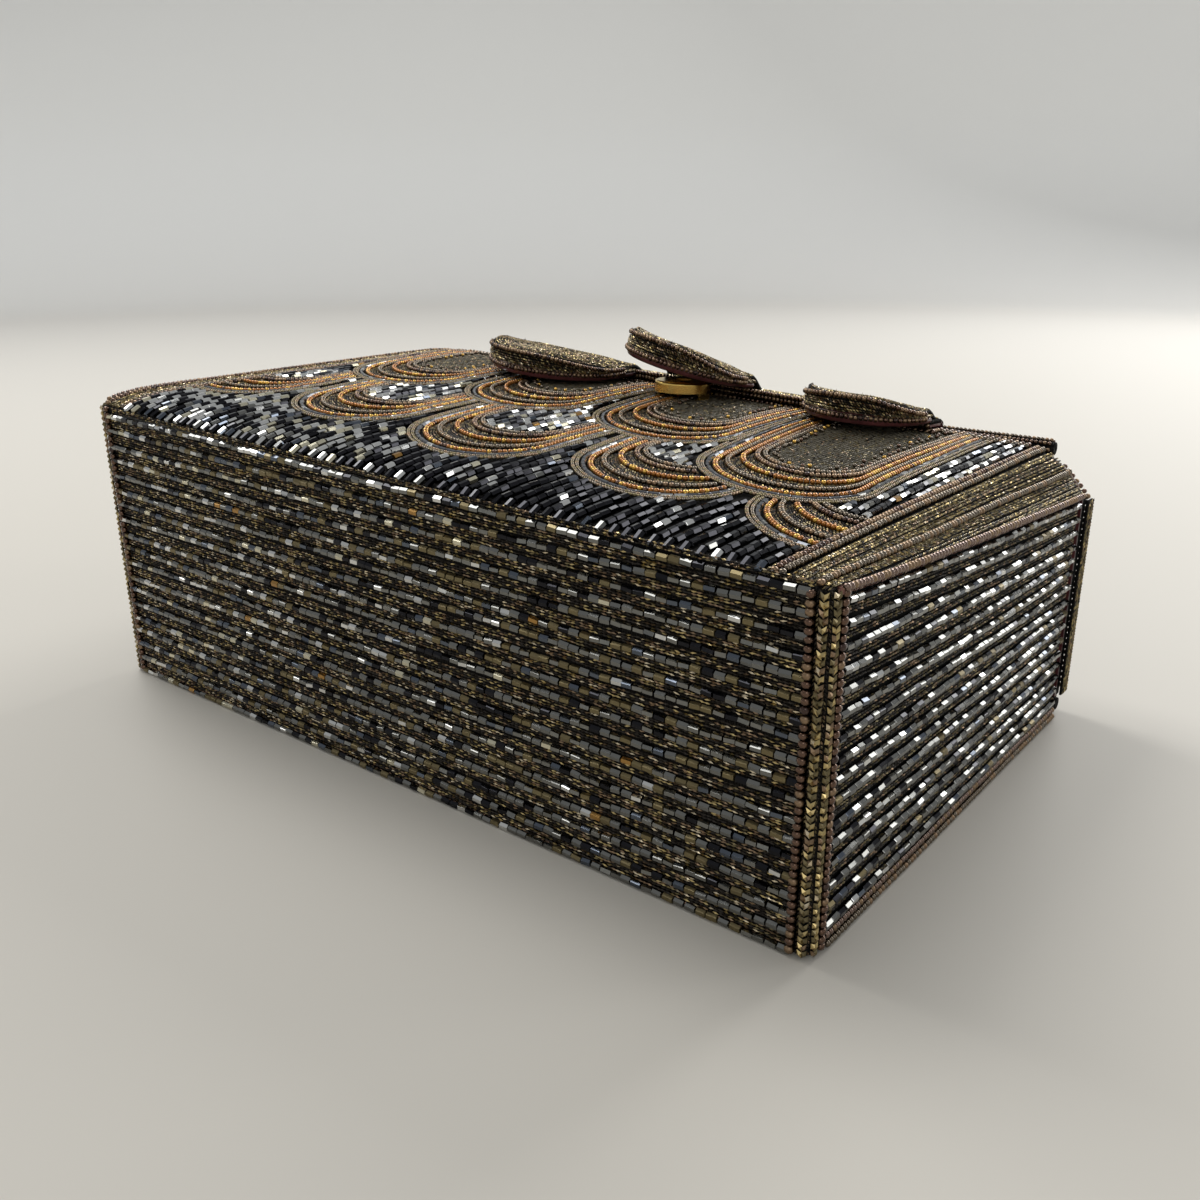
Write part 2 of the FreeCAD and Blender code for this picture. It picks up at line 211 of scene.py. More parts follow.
black_cloth = weave("black_cloth", (0.004, 0.004, 0.004), (0.022, 0.019, 0.016), 0.5)
olive_cloth = weave("olive_cloth", (0.025, 0.022, 0.014), (0.13, 0.115, 0.075), 0.45)
satin = add_grain(material("lining_satin", (0.1, 0.03, 0.03), 0, 0.32, 0.2),
                  (0.07, 0.018, 0.02), (0.15, 0.045, 0.045), 60, 0.25, (1, 5, 1))
greyboard = add_grain(material("greyboard", (0.3, 0.28, 0.24), 0, 0.9),
                      (0.2, 0.18, 0.15), (0.36, 0.33, 0.28), 300, 0.3)
wadding = add_grain(material("wadding", (0.7, 0.68, 0.63), 0, 0.95),
                    (0.55, 0.53, 0.49), (0.8, 0.78, 0.74), 120, 0.7)
gold = add_grain(material("gold_metal", (0.8, 0.55, 0.16), 1, 0.22),
                 (0.72, 0.47, 0.12), (0.88, 0.64, 0.22), 40, 0.03)
magnet_steel = add_grain(material("magnet", (0.1, 0.1, 0.11), 0.9, 0.4),
                         (0.07, 0.07, 0.08), (0.14, 0.14, 0.15), 150, 0.05)
plate_steel = add_grain(material("steel_plate", (0.5, 0.5, 0.5), 1, 0.35),
                        (0.4, 0.4, 0.4), (0.6, 0.6, 0.6), 90, 0.05, (8, 1, 1))

GLASS = palette("glass", {
    "grey": ((0.19, 0.19, 0.178), 1, 0.12),
    "olive": ((0.185, 0.175, 0.135), 1, 0.14),
    "blue": ((0.1, 0.115, 0.14), 1, 0.12),
    "black": ((0.02, 0.02, 0.023), 0.95, 0.1),
    "silver": ((0.62, 0.62, 0.6), 1, 0.12),
    "cream": ((0.6, 0.56, 0.42), 0.9, 0.18),
    "amber": ((0.36, 0.2, 0.06), 0.9, 0.18),
    "slate": ((0.105, 0.11, 0.12), 0.9, 0.18),
})
SEEDS = palette("seed", {
    "copper": ((0.125, 0.07, 0.044), 0.95, 0.13, 0.4),
    "bronze": ((0.13, 0.088, 0.055), 0.9, 0.22, 0.4),
    "rose": ((0.2, 0.135, 0.105), 0.95, 0.15, 0.4),
    "silver_bronze": ((0.17, 0.14, 0.105), 0.95, 0.15),
    "orange": ((0.36, 0.135, 0.016), 0.65, 0.2, 0.5),
    # painted highlight: these yellow seeds stand in for glints on the orange seeds
    "painted_glint_yellow": ((0.62, 0.36, 0.055), 0.75, 0.18, 0.5),
    "umber": ((0.05, 0.027, 0.02), 0.8, 0.22, 0.4),
})
THREADS = palette("thread", {
    "gold": ((0.48, 0.37, 0.17), 1, 0.28),
    "pale": ((0.62, 0.52, 0.36), 1, 0.25),
    "olive": ((0.18, 0.145, 0.075), 0.9, 0.34),
    "bronze": ((0.25, 0.17, 0.105), 0.95, 0.3),
    "dark": ((0.028, 0.022, 0.016), 0.6, 0.45),
    "russet": ((0.12, 0.045, 0.028), 0.5, 0.4),
    "fabric": ((0.13, 0.112, 0.075), 0.2, 0.6),
})
PALETTE = {**GLASS, **SEEDS, **THREADS}
PALETTE_NAMES = list(PALETTE)

# Mixes of bead colours, as shares
WALL_BUGLES = {"grey": 58, "olive": 18, "blue": 6, "black": 13, "silver": 3.5, "cream": 1, "amber": 0.5}
END_BUGLES = {"grey": 66, "olive": 4, "blue": 8, "black": 16, "silver": 6}
# Painted highlights: this mix has more silver and cream bugles. strand() uses it more often towards the bag's
# left, standing in for the brighter glints there.
LEFT_PAINTED_GLINT_BUGLES = {"grey": 42, "olive": 10, "blue": 9, "black": 14, "silver": 18, "cream": 6, "amber": 1}
FIELD_BUGLES = {"grey": 2, "blue": 4, "black": 88, "silver": 6}
# Painted highlights as well: more silver and cream bugles for the left of the front's field. The lower
# scales' insides also use this mix.
FIELD_LEFT_PAINTED_GLINT_BUGLES = {"grey": 8, "blue": 6, "black": 42, "silver": 30, "cream": 13, "amber": 1}
OUTLINE_BUGLES = {"slate": 80, "silver": 8, "grey": 12}
WALL_PURL = {"dark": 46, "bronze": 20, "olive": 9, "gold": 14, "pale": 11}
OLIVE_PURL = {"olive": 55, "gold": 12, "dark": 20, "bronze": 13}
DARK_PURL = {"dark": 55, "olive": 30, "bronze": 15}
BRIGHT_PURL = {"gold": 40, "olive": 38, "pale": 12, "dark": 10}
PETAL_PURL = {"olive": 42, "bronze": 26, "dark": 20, "gold": 9, "pale": 3}
FABRIC = {"fabric": 72, "olive": 14, "bronze": 6, "dark": 8}
CHAIN_PURL = {"gold": 34, "olive": 44, "pale": 8, "bronze": 14}
CORD_PURL = {"russet": 75, "bronze": 25}
BRONZE_SEEDS = {"bronze": 50, "copper": 35, "umber": 15}
COPPER_SEEDS = {"copper": 78, "bronze": 14, "umber": 8}
ROSE_SEEDS = {"rose": 65, "bronze": 35}
SILVER_SEEDS = {"silver_bronze": 75, "bronze": 25}
OUTLINE_SEEDS = {"silver_bronze": 45, "olive": 35, "bronze": 20}
# orange seeds, with yellow ones mixed in as painted highlights
ORANGE_SEEDS = {"orange": 66, "painted_glint_yellow": 28, "copper": 6}


# ---------------------------------------------------------------- bead shapes

def turned(sides, profile):
    """Bead whose thread runs along X: rings given as (place along it, radius), closed at both ends."""
    turns = np.arange(sides) * 2 * math.pi / sides
    points = np.array([(x, r * math.cos(a), r * math.sin(a)) for x, r in profile for a in turns])
    faces = []
    for ring in range(len(profile) - 1):
        for i in range(sides):
            j = (i + 1) % sides
            low = ring * sides
            high = low + sides
            faces.append((low + i, high + i, high + j, low + j))
    last = (len(profile) - 1) * sides
    faces.append(tuple(range(sides)))
    faces.append(tuple(last + i for i in reversed(range(sides))))
    return points, faces


def spindle():
    """Short length of thread, pointed at both ends."""
    ring = [(0, 0.5, 0), (0, 0, 0.5), (0, -0.5, 0), (0, 0, -0.5)]
    points = np.array([(-0.5, 0, 0), (0.5, 0, 0)] + ring)
    faces = []
    for i in range(4):
        j = (i + 1) % 4
        faces.append((0, 2 + i, 2 + j))
        faces.append((1, 2 + j, 2 + i))
    return points, faces


BUGLE = turned(6, ((-0.5, 0.42), (-0.46, 0.5), (0.46, 0.5), (0.5, 0.42)))
SEED = turned(8, ((-0.5, 0.22), (-0.34, 0.43), (0, 0.5), (0.34, 0.43), (0.5, 0.22)))
STITCH = spindle()


# ---------------------------------------------------------------- walls of the bag

def front_height(x, y):
    """Height of the front's outer face, as in the CAD source."""
    v = y / HALF_HEIGHT
    leftward = np.clip((1 - x / HALF_LENGTH) / 2, 0, 1)
    mouthward = np.clip((1 + v) / 2, 0, 1)
    edge = FRONT_EDGE_DEPTH + LEFT_EDGE_RISE * leftward ** 1.2
    crown = LEFT_FULLNESS * leftward * (1 - v ** 10)
    crown += 4 * FRONT_CROWN * leftward * (1 - leftward) * (1 - v ** 4)
    taper = MOUTH_TAPER * (1 - leftward) * mouthward
    past_shoulder = np.maximum(0, np.abs(x) - (HALF_LENGTH - SHOULDER_WIDTH)) / SHOULDER_WIDTH
    drop = np.where(x > 0, SHOULDER_DROP_RIGHT, SHOULDER_DROP_LEFT)
    return edge + crown - taper - drop * mouthward ** 0.8 * past_shoulder ** 2


def unit(rows):
    """Rows of vectors, each made one long."""
    return rows / np.maximum(np.linalg.norm(rows, axis=-1, keepdims=True), 1e-9)


def matched(a, b):
    """Two coordinates as rows of numbers of one shape."""
    return np.broadcast_arrays(np.asarray(a, float), np.asarray(b, float))


def stack(x, y, z):
    """Points or directions from their three parts, any of which may be a single number."""
    return np.stack(np.broadcast_arrays(x, y, z), -1)


def flat_wall(at, normal):
    """Wall function for a flat wall: at gives a point for two coordinates."""
    def wall(a, b):
        a, b = matched(a, b)
        points = stack(*at(a, b))
        return points, np.broadcast_to(np.array(normal, float), points.shape).copy()
    return wall


def front_wall(depth=BEAD_ROOM):
    """The front at a depth below its outer face; past its foot it rolls over the bottom edge."""
    edge_foot = -HALF_HEIGHT + EDGE_ROUND
    step = 0.5

    def wall(x, y):
        x, y = matched(x, y)
        level = np.maximum(y, edge_foot)
        roll = np.clip((level - y) / EDGE_ROUND, 0, math.pi / 2)
        height = front_height(x, level)
        slope_x = (front_height(x + step, level) - front_height(x - step, level)) / (2 * step)
        slope_y = (front_height(x, level + step) - front_height(x, level - step)) / (2 * step)
        flat = roll <= 0
        normal = unit(stack(-slope_x, np.where(flat, -slope_y, 0), 1))
        tipped = stack(normal[..., 0], -np.sin(roll), np.cos(roll))
        normal = np.where(flat[..., None], normal, unit(tipped))
        over_edge = height - EDGE_ROUND + EDGE_ROUND * np.cos(roll)
        points = stack(x, level - EDGE_ROUND * np.sin(roll), np.where(flat, height, over_edge))
        return points - depth * normal, normal
    return wall


def corner_wall(side):
    """A bottom corner, for a distance round it from its middle and a height."""
    inner = CORNER_ROUND - BEAD_ROOM
    line = CORNER_ROUND - BEAD_ROOM / 2
    centre = np.array([side * (HALF_LENGTH - CORNER_ROUND), -HALF_HEIGHT + CORNER_ROUND])

    def wall(s, z):
        s, z = matched(s, z)
        turn = np.clip(s / line, -math.pi / 4, math.pi / 4)
        rest = s - turn * line
        angle = turn - math.pi / 4
        out_x = side * np.cos(angle)
        out_y = np.sin(angle)
        points = stack(centre[0] + inner * out_x - rest * side * np.sin(angle),
                       centre[1] + inner * out_y + rest * np.cos(angle), z)
        return points, stack(out_x, out_y, 0)
    return wall


def roll_wall(y, z, radius):
    """Round bar along X, for a place along it and an angle from +Y towards +Z."""
    def wall(x, angle):
        x, angle = matched(x, angle)
        normal = stack(0, np.cos(angle), np.sin(angle))
        return stack(x, y, z) + radius * normal, normal
    return wall


front = front_wall()
bottom = flat_wall(lambda x, z: (x, -HALF_HEIGHT + BEAD_ROOM, z), (0, -1, 0))
back = flat_wall(lambda x, y: (x, y, BEAD_ROOM), (0, 0, -1))
lid = flat_wall(lambda x, z: (x, HALF_HEIGHT - BEAD_ROOM, z), (0, 1, 0))
SIDES = {"left": -1, "right": 1}


def side_wall(side, x):
    """Upright wall across the bag, x from its middle, for a place along Y and a height."""
    return flat_wall(lambda y, z: (side * x, y, z), (side, 0, 0))


ends = {side: side_wall(side, HALF_LENGTH - BEAD_ROOM) for side in SIDES.values()}
corners = {side: corner_wall(side) for side in SIDES.values()}


# ---------------------------------------------------------------- laying beads

def choose(mix, count):
    """Colour numbers drawn from a mix."""
    names = list(mix)
    shares = np.array([mix[n] for n in names], float)
    numbers = np.array([PALETTE_NAMES.index(n) for n in names])
    return CHANCE.choice(numbers, count, p=shares / shares.sum())


def strand(batch, wall, a, b, bead, size, pitch, mix, keep=None, slant=0.0, roll=8.0, loose=0.15,
           wander=0.12, rise=0.0, mix_left=None):
    """Beads along a line on a wall. The line is given by its two coordinates, as rows of numbers."""
    a, b = matched(a, b)
    points, normals = wall(a, b)
    steps = np.linalg.norm(np.diff(points, axis=0), axis=1)
    run = np.concatenate([[0], np.cumsum(steps)])
    count = int(run[-1] / pitch)
    if count < 1:
        return
    at = (np.arange(count) + 0.5) * run[-1] / count + CHANCE.normal(0, 0.03 * pitch, count)
    centre = np.stack([np.interp(at, run, points[:, k]) for k in range(3)], -1)
    normal = unit(np.stack([np.interp(at, run, normals[:, k]) for k in range(3)], -1))
    ahead = np.stack([np.interp(at + pitch / 2, run, points[:, k]) for k in range(3)], -1)
    behind = np.stack([np.interp(at - pitch / 2, run, points[:, k]) for k in range(3)], -1)
    tangent = unit(ahead - behind)
    normal = unit(normal - tangent * np.sum(tangent * normal, 1, keepdims=True))
    side = np.cross(normal, tangent)
    wave = wander * np.sin(at / CHANCE.uniform(9, 16) + CHANCE.uniform(0, 6))
    wave = wave + CHANCE.normal(0, wander / 3, count)
    centre = centre + side * wave[:, None] + normal * (size[2] / 2 + rise)
    if keep is not None:
        kept = keep(np.interp(at, run, a), np.interp(at, run, b))
    else:
        kept = np.ones(count, bool)
    tilt = CHANCE.normal(0, roll, count)
    tumbled = CHANCE.random(count) < loose
    tilt = np.radians(np.where(tumbled, CHANCE.uniform(-30, 30, count), tilt))[:, None]
    turn = np.radians(slant + CHANCE.normal(0, 2.5, count))[:, None]
    forward = np.cos(turn) * tangent + np.sin(turn) * side
    across = -np.sin(turn) * tangent + np.cos(turn) * side
    axes = [forward, np.cos(tilt) * across + np.sin(tilt) * normal,
            -np.sin(tilt) * across + np.cos(tilt) * normal]
    grow = CHANCE.normal(1, 0.04, (count, 3)) * np.array(size)
    frames = np.stack([axes[k] * grow[:, k:k + 1] for k in range(3)], 1)
    tint = choose(mix, count)
    # Painted highlights: beads from the second mix, with more silver and cream, grow more common towards the
    # bag's left.
    if mix_left is not None:
        leftward = CHANCE.random(count) < np.clip(0.5 - centre[:, 0] / 90, 0, 1)
        tint = np.where(leftward, choose(mix_left, count), tint)
    batch.append((bead, centre[kept], frames[kept], tint[kept]))


def bugles(batch, wall, a, b, mix=WALL_BUGLES, **more):
    strand(batch, wall, a, b, BUGLE, BUGLE_SIZE, BUGLE_PITCH, mix, **more)


def seeds(batch, wall, a, b, mix, size=SEED_SIZE, pitch=1.38, **more):
    strand(batch, wall, a, b, SEED, size, pitch, mix, **more)


def purl(batch, wall, a, b, mix, width, strands=1, across=(0, 1), twist=24.0, size=STITCH_SIZE,
         pitch=0.72, **more):
    """Twisted metal thread: strands side by side over a width, slanting alternate ways."""
    for i in range(strands):
        offset = (i + 0.5 - strands / 2) * width / strands
        slant = twist if i % 2 else -twist
        strand(batch, wall, np.asarray(a) + offset * across[0], np.asarray(b) + offset * across[1], STITCH,
               size, pitch, mix, slant=slant, roll=25, loose=0.3, wander=0.08, **more)


def row_purl(batch, wall, a, b, mix, width, strands, **more):
    """The smoother purl that lies between rows of bugles."""
    purl(batch, wall, a, b, mix, width, strands, twist=7, size=LONG_STITCH_SIZE, pitch=1.0, **more)


def into_scene(name, data):
    made = bpy.data.objects.new(name, data)
    bpy.context.scene.collection.objects.link(made)
    return made


def make_mesh(name, points, faces_start, corners_of, tint=None, smooth=False, materials=()):
    """Mesh object from flat arrays, with points in millimetres."""
    mesh = bpy.data.meshes.new(name)
    mesh.vertices.add(len(points))
    mesh.vertices.foreach_set("co", (points * MM).astype(np.float32).ravel())
    mesh.loops.add(len(corners_of))
    mesh.loops.foreach_set("vertex_index", corners_of.astype(np.int32))
    mesh.polygons.add(len(faces_start))
    mesh.polygons.foreach_set("loop_start", faces_start.astype(np.int32))
    for made in materials:
        mesh.materials.append(made)
    if tint is not None:
        mesh.polygons.foreach_set("material_index", tint.astype(np.int32))
    mesh.polygons.foreach_set("use_smooth", np.broadcast_to(smooth, len(faces_start)).astype(bool))
    mesh.update(calc_edges=True)
    mesh.validate()
    return into_scene(name, mesh)


def bead_piece(name, batch, body="box"):
    """One mesh of all the beads in a batch; those that would dip below the floor are lifted onto it."""
    points, loops, starts, tints, smooth = [], [], [], [], []
    used = np.unique(np.concatenate([group[3] for group in batch]))
    lookup = {number: i for i, number in enumerate(used)}
    base = 0
    corner = 0
    for (shape, faces), centre, frames, tint in batch:
        placed = centre[:, None, :] + np.einsum("vk,nkj->nvj", shape, frames)
        low = placed[:, :, 2].min(1)
        placed[:, :, 2] += np.maximum(0, FLOOR_GAP - low)[:, None]
        count = len(centre)
        points.append(placed.reshape(-1, 3))
        flat = np.array([v for face in faces for v in face])
        sizes = np.array([len(face) for face in faces])
        loops.append((np.arange(count)[:, None] * len(shape) + flat + base).ravel())
        begin = np.concatenate([[0], np.cumsum(sizes)[:-1]])
        starts.append((np.arange(count)[:, None] * len(flat) + begin + corner).ravel())
        local = np.array([lookup[t] for t in tint], int)
        tints.append(np.repeat(local, len(faces)))
        smooth.append(np.full(count * len(faces), shape is SEED[0]))
        base += count * len(shape)
        corner += count * len(flat)
    made = make_mesh(name, np.concatenate(points), np.concatenate(starts), np.concatenate(loops),
                     np.concatenate(tints), np.concatenate(smooth),
                     [PALETTE[PALETTE_NAMES[number]] for number in used])
    if body:
        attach(made, body)
    return made


def slab(name, outer, inner, made_of, body, slot):
    """Closed sheet between two grids of points, outer and inner, of the same size."""
    rows, columns = outer.shape[:2]
    points = np.concatenate([outer.reshape(-1, 3), inner.reshape(-1, 3)])
    under = rows * columns

    def number(i, j):
        return i * columns + j

    quads = []
    for i in range(rows - 1):
        for j in range(columns - 1):
            face = (number(i, j), number(i + 1, j), number(i + 1, j + 1), number(i, j + 1))
            quads.append(face)
            quads.append(tuple(under + k for k in reversed(face)))
    rim = [number(i, 0) for i in range(rows)] + [number(rows - 1, j) for j in range(1, columns)]
    rim += [number(i, columns - 1) for i in range(rows - 2, -1, -1)]
    rim += [number(0, j) for j in range(columns - 2, 0, -1)]
    for p, q in zip(rim, rim[1:] + rim[:1]):
        quads.append((q, p, under + p, under + q))
    loops = np.array(quads).ravel()
    piece = make_mesh(name, points, np.arange(len(quads)) * 4, loops, None, True, [made_of])
    mesh_out(piece)
    if body:
        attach(piece, body)
    return piece


def mesh_out(piece):
    """Turns every face of a closed mesh outwards."""
    work = bmesh.new()
    work.from_mesh(piece.data)
    bmesh.ops.recalc_face_normals(work, faces=work.faces)
    work.to_mesh(piece.data)
    work.free()


def wall_slab(name, wall, a, b, made_of=black_cloth, body="box", slot="bugle_beadwork",
              thickness=CLOTH - 0.05, rise=0.0):
    """Cloth on a wall, over a grid of its two coordinates."""
    points, normals = wall(a, b)
    return slab(name, points + rise * normals, points - (thickness - rise) * normals, made_of, body, slot)


def grid(low_a, high_a, count_a, low_b, high_b, count_b):
    """Two grids of coordinates; the limits of the second may depend on the first."""
    a = np.linspace(low_a, high_a, count_a)[:, None] * np.ones((1, count_b))
    t = np.linspace(0, 1, count_b)[None, :]
    low = low_b(a) if callable(low_b) else low_b
    high = high_b(a) if callable(high_b) else high_b
    return a, 0 * a + low + (high - low) * t


def line(low, high, step=1.0):
    return np.linspace(low, high, max(2, int(abs(high - low) / step)))


# ---------------------------------------------------------------- bottom and lid

ROW_HALF = 95.6
BOTTOM_ROWS = 19
END_ROWS = 16                # on the ends and on the lid
FOOT_ROW = 0.75
FOLD_MARGIN = 2.7            # from a fold's axis to the edge of the lid's cover
LID_BORDER = 3.0
LID_CORNER_CUT = 7.5


def sagging_rows(along, foot, head, rows, sag, wave, shift):
    """Number, height and next gap's height of each row of a wall; the rows between first and last waver."""
    for i in range(rows):
        share = i / (rows - 1)
        z = foot + (head - foot) * share + sag * np.sin(along / wave + shift * i) * math.sin(math.pi * share)
        yield i, z, z + (head - foot) / (rows - 1) / 2


def build_bottom():
    """Rows of bugles along the bag's bottom, with purl between them."""
    def top(x):
        return front_height(x, -HALF_HEIGHT) - EDGE_ROUND

    cloth = wall_slab("bottom_cloth", bottom, *grid(-97.0, 97.0, 60, 0.4, top, 14))
    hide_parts("bottom_cover")
    x = line(-ROW_HALF, ROW_HALF)
    head = front_height(x, -HALF_HEIGHT) - 2.6
    glass, threads = [], []
    for i, z, middle in sagging_rows(x, FOOT_ROW, head, BOTTOM_ROWS, 0.35, 23, 2.1):
        bugles(glass, bottom, x, z, mix_left=LEFT_PAINTED_GLINT_BUGLES)
        if i < BOTTOM_ROWS - 1:
            row_purl(threads, bottom, x, middle, WALL_PURL, 2.0, 4, rise=0.2)
    purl(threads, bottom, x, head + 1.4, WALL_PURL, 1.2, strands=3, twist=7)
    bead_piece("bottom_bugles", glass, "box")
    bead_piece("bottom_purl", threads)


def build_lid():
    """The top panel, beaded like the bottom, with bronze seeds round its edge."""
    foot = BACK_FOLD_Z + FOLD_MARGIN
    head = FLAP_FOLD_Z - FOLD_MARGIN

    def side_limit(z):
        return HALF_LENGTH - np.maximum(0, z - (head - LID_CORNER_CUT))

    z = np.linspace(foot, head, 30)[:, None] * np.ones((1, 60))
    x = np.linspace(-1, 1, 60)[None, :] * (side_limit(z) - 1.4)
    cloth = wall_slab("lid_cloth", lid, x, z, body="lid")
    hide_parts("lid_cover")
    glass, threads, border = [], [], []
    pitch = (head - foot - 2 * LID_BORDER) / (END_ROWS - 1)
    for i in range(END_ROWS):
        level = foot + LID_BORDER + pitch * i
        reach = float(side_limit(level)) - 4.2
        along = line(-reach, reach)
        bugles(glass, lid, along, level)
        if i < END_ROWS - 1:
            row_purl(threads, lid, along, level + pitch / 2, WALL_PURL, 1.8, 3)
    for inset, mix in ((0.9, COPPER_SEEDS), (2.4, SILVER_SEEDS)):
        for side in (-1, 1):
            up = line(foot + inset, head - inset)
            seeds(border, lid, side * (side_limit(up) - inset), up, mix)
        for level in (foot + inset * 0.8, head - inset * 0.8):
            reach = float(side_limit(level)) - inset - 1
            seeds(border, lid, line(-reach, reach), level, mix)
    for name, side in SIDES.items():
        edge = side_wall(side, HALF_LENGTH)
        y, z = grid(FOLD_Y - 2.3, FOLD_Y + 1.2, 4, foot + 0.6, head - LID_CORNER_CUT, 20)
        wall_slab(f"lid_edge_cloth_{name}", edge, y, z, body="lid", rise=0.3)
        up = line(foot + 0.8, head - LID_CORNER_CUT)
        for i in range(6):
            purl(threads, edge, FOLD_Y - 2.0 + 0.6 * i, up, OLIVE_PURL, 0, rise=0.3)
    bead_piece("lid_bugles", glass, "lid")
    bead_piece("lid_purl", threads, "lid")
    bead_piece("lid_border_seeds", border, "lid")


def build_fold(name, body, z, half, node):
    """Beaded roll round a fold's axis, which stays covered however far the fold opens."""
    core = roll_wall(FOLD_Y, z, 1.5)
    outer, normal = core(*grid(-half, half, 40, 0, 2 * math.pi, 21))
    cloth = slab(f"{name}_cloth", outer, outer - 1.4 * normal, black_cloth, body, "bugle_beadwork")
    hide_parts(node)
    batch = []
    turns = 8
    for i in range(turns):
        mix = COPPER_SEEDS if i % 2 else SILVER_SEEDS
        seeds(batch, core, line(-half + 0.5, half - 0.5), 2 * math.pi * i / turns, mix,
              size=(0.8, 1.0, 0.85), pitch=1.0, wander=0.03)
    bead_piece(f"{name}_beads", batch, body)


# ---------------------------------------------------------------- ends, corners and pipings

SHOULDER_PITCH = 0.52


def end_seam(side, y):
    """Top of an end wall, under the front's cover."""
    return front_height(side * HALF_LENGTH, y) - COVER


def build_end(name, side):
    """End wall: bugle rows from corner to mouth, a border at its foot, and its piping along the top."""
    wall = ends[side]
    first = -HALF_HEIGHT + CORNER_ROUND + 2.6
    cloth = wall_slab(f"{name}_end_cloth", wall,
                      *grid(-HALF_HEIGHT + 4.6, MOUTH_EDGE, 40, 0.4, lambda y: end_seam(side, y) - 0.1, 14))
    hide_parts(f"{name}_end_cover")
    y = line(first, MOUTH_EDGE - 1.0)
    head = end_seam(side, y) - 1.3
    foot = 4.3
    glass, threads, border = [], [], []
    for i, z, middle in sagging_rows(y, foot, head, END_ROWS, 0.25, 15, 1.7):
        bugles(glass, wall, y, z, END_BUGLES)
        if i < END_ROWS - 1:
            row_purl(threads, wall, y, middle, DARK_PURL, 1.7, 3, rise=0.1)
    seeds(border, wall, y, 2.6, ROSE_SEEDS, size=BORDER_SEED_SIZE, pitch=BORDER_PITCH, rise=0.1)
    seeds(border, wall, y, 0.9, SILVER_SEEDS, size=BORDER_SEED_SIZE, pitch=BORDER_PITCH, rise=0.3)
    purl(border, wall, y, 1.75, BRIGHT_PURL, 0.5, rise=0.5)
    bead_piece(f"{name}_end_bugles", glass, "box")
    bead_piece(f"{name}_end_purl", threads)
    bead_piece(f"{name}_end_border", border)
    build_piping(name, side)


def build_piping(name, side):
    """Twisted cord along the seam between an end and the front, with a row of seeds on it."""
    centre_x = side * (HALF_LENGTH - 0.95)
    start = -HALF_HEIGHT + 3.6
    y = line(start, MOUTH_EDGE)

    def seam_line(a, b):
        rise = end_seam(side, a) + 0.55
        return stack(centre_x + b, a, rise), unit(stack(side * 0.75, 0 * a, 0.66))

    batch = []
    for offset in (-0.35, 0.15):
        strand(batch, seam_line, y, offset, STITCH, CORD_SIZE, 0.62, CORD_PURL, slant=32,
               roll=10, loose=0, wander=0.02, rise=-0.75)
    piece = bead_piece(f"{name}_piping_cord", batch, "box")
    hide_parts(f"{name}_piping")
    rows = []
    seeds(rows, seam_line, y, 0, ROSE_SEEDS, size=(1.1, 1.35, 1.3), pitch=1.25, rise=-0.1,
          wander=0.05)
    bead_piece(f"{name}_piping_seeds", rows)
    build_shoulder(name, side, y, seam_line)


def build_shoulder(name, side, y, seam_line):
    """Rows of purl on the slope between the front's border and the piping, which widens to the mouth."""
    def shoulder(a, share):
        upper, _ = front(side * (HALF_LENGTH - PIPING), a)
        lower, _ = seam_line(a, 0)
        share = np.asarray(share, float)[..., None]
        out = unit(stack(side * 0.85, 0 * a, 0.53))
        return upper + (lower - upper) * share, out

    ends_of = [shoulder(y, share)[0] for share in (0, 1)]
    drop = np.linalg.norm(ends_of[1] - ends_of[0], axis=-1)
    wall_slab(f"{name}_shoulder_cloth", shoulder, *grid(y[0], y[-1], 40, 0, 1, 5), slot="seed_beadwork")
    threads = []
    for i in range(7):
        share = (0.45 + SHOULDER_PITCH * i) / drop
        mix = BRIGHT_PURL if i in (2, 5) else OLIVE_PURL
        strand(threads, shoulder, y, share, STITCH, STITCH_SIZE, 0.8, mix, slant=24,
               keep=lambda a, b: b < 1, rise=0.25)
    bead_piece(f"{name}_shoulder_purl", threads)


def build_corner(name, side):
    """Braid that wraps an upright corner: two strips of purl between two rows of copper seeds."""
    wall = corners[side]
    top = float(front_height(side * (HALF_LENGTH - 2), -HALF_HEIGHT + 3)) - COVER - 0.3
    s, z = grid(-CORNER_HALF, CORNER_HALF, 24, 0.4, top, 20)
    cloth = wall_slab(f"{name}_corner_cloth", wall, s, z, slot="seed_beadwork")
    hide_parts(f"{name}_corner_braid")
    batch = []
    up = line(0.6, top + 0.6)
    for place in (-CORNER_HALF + 1.1, CORNER_HALF - 1.1):
        seeds(batch, wall, place, up, COPPER_SEEDS, size=(1.3, 1.8, 1.5), pitch=1.42)
    for place in (-2.05, 0.0, 2.05):
        purl(batch, wall, place, up, DARK_PURL, 0.9, strands=2, across=(1, 0))
    for place in (-1.05, 1.05):
        for slant in (-30, 30):
            strand(batch, wall, place - slant / 100, up, STITCH, CHAIN_SIZE, 1.3, CHAIN_PURL,
                   slant=slant, roll=14, loose=0.1, wander=0.05, rise=0.45)
    bead_piece(f"{name}_corner_beads", batch)


# ---------------------------------------------------------------- scales on the front

SCALE_RADIUS = 20.0
SCALE_FLARE = 0.05
SCALE_LEAN = 9.0
SCALE_LEAN_RUN = 30.0
SCALE_PITCH = 43.5
SCALE_TOP = 55.5
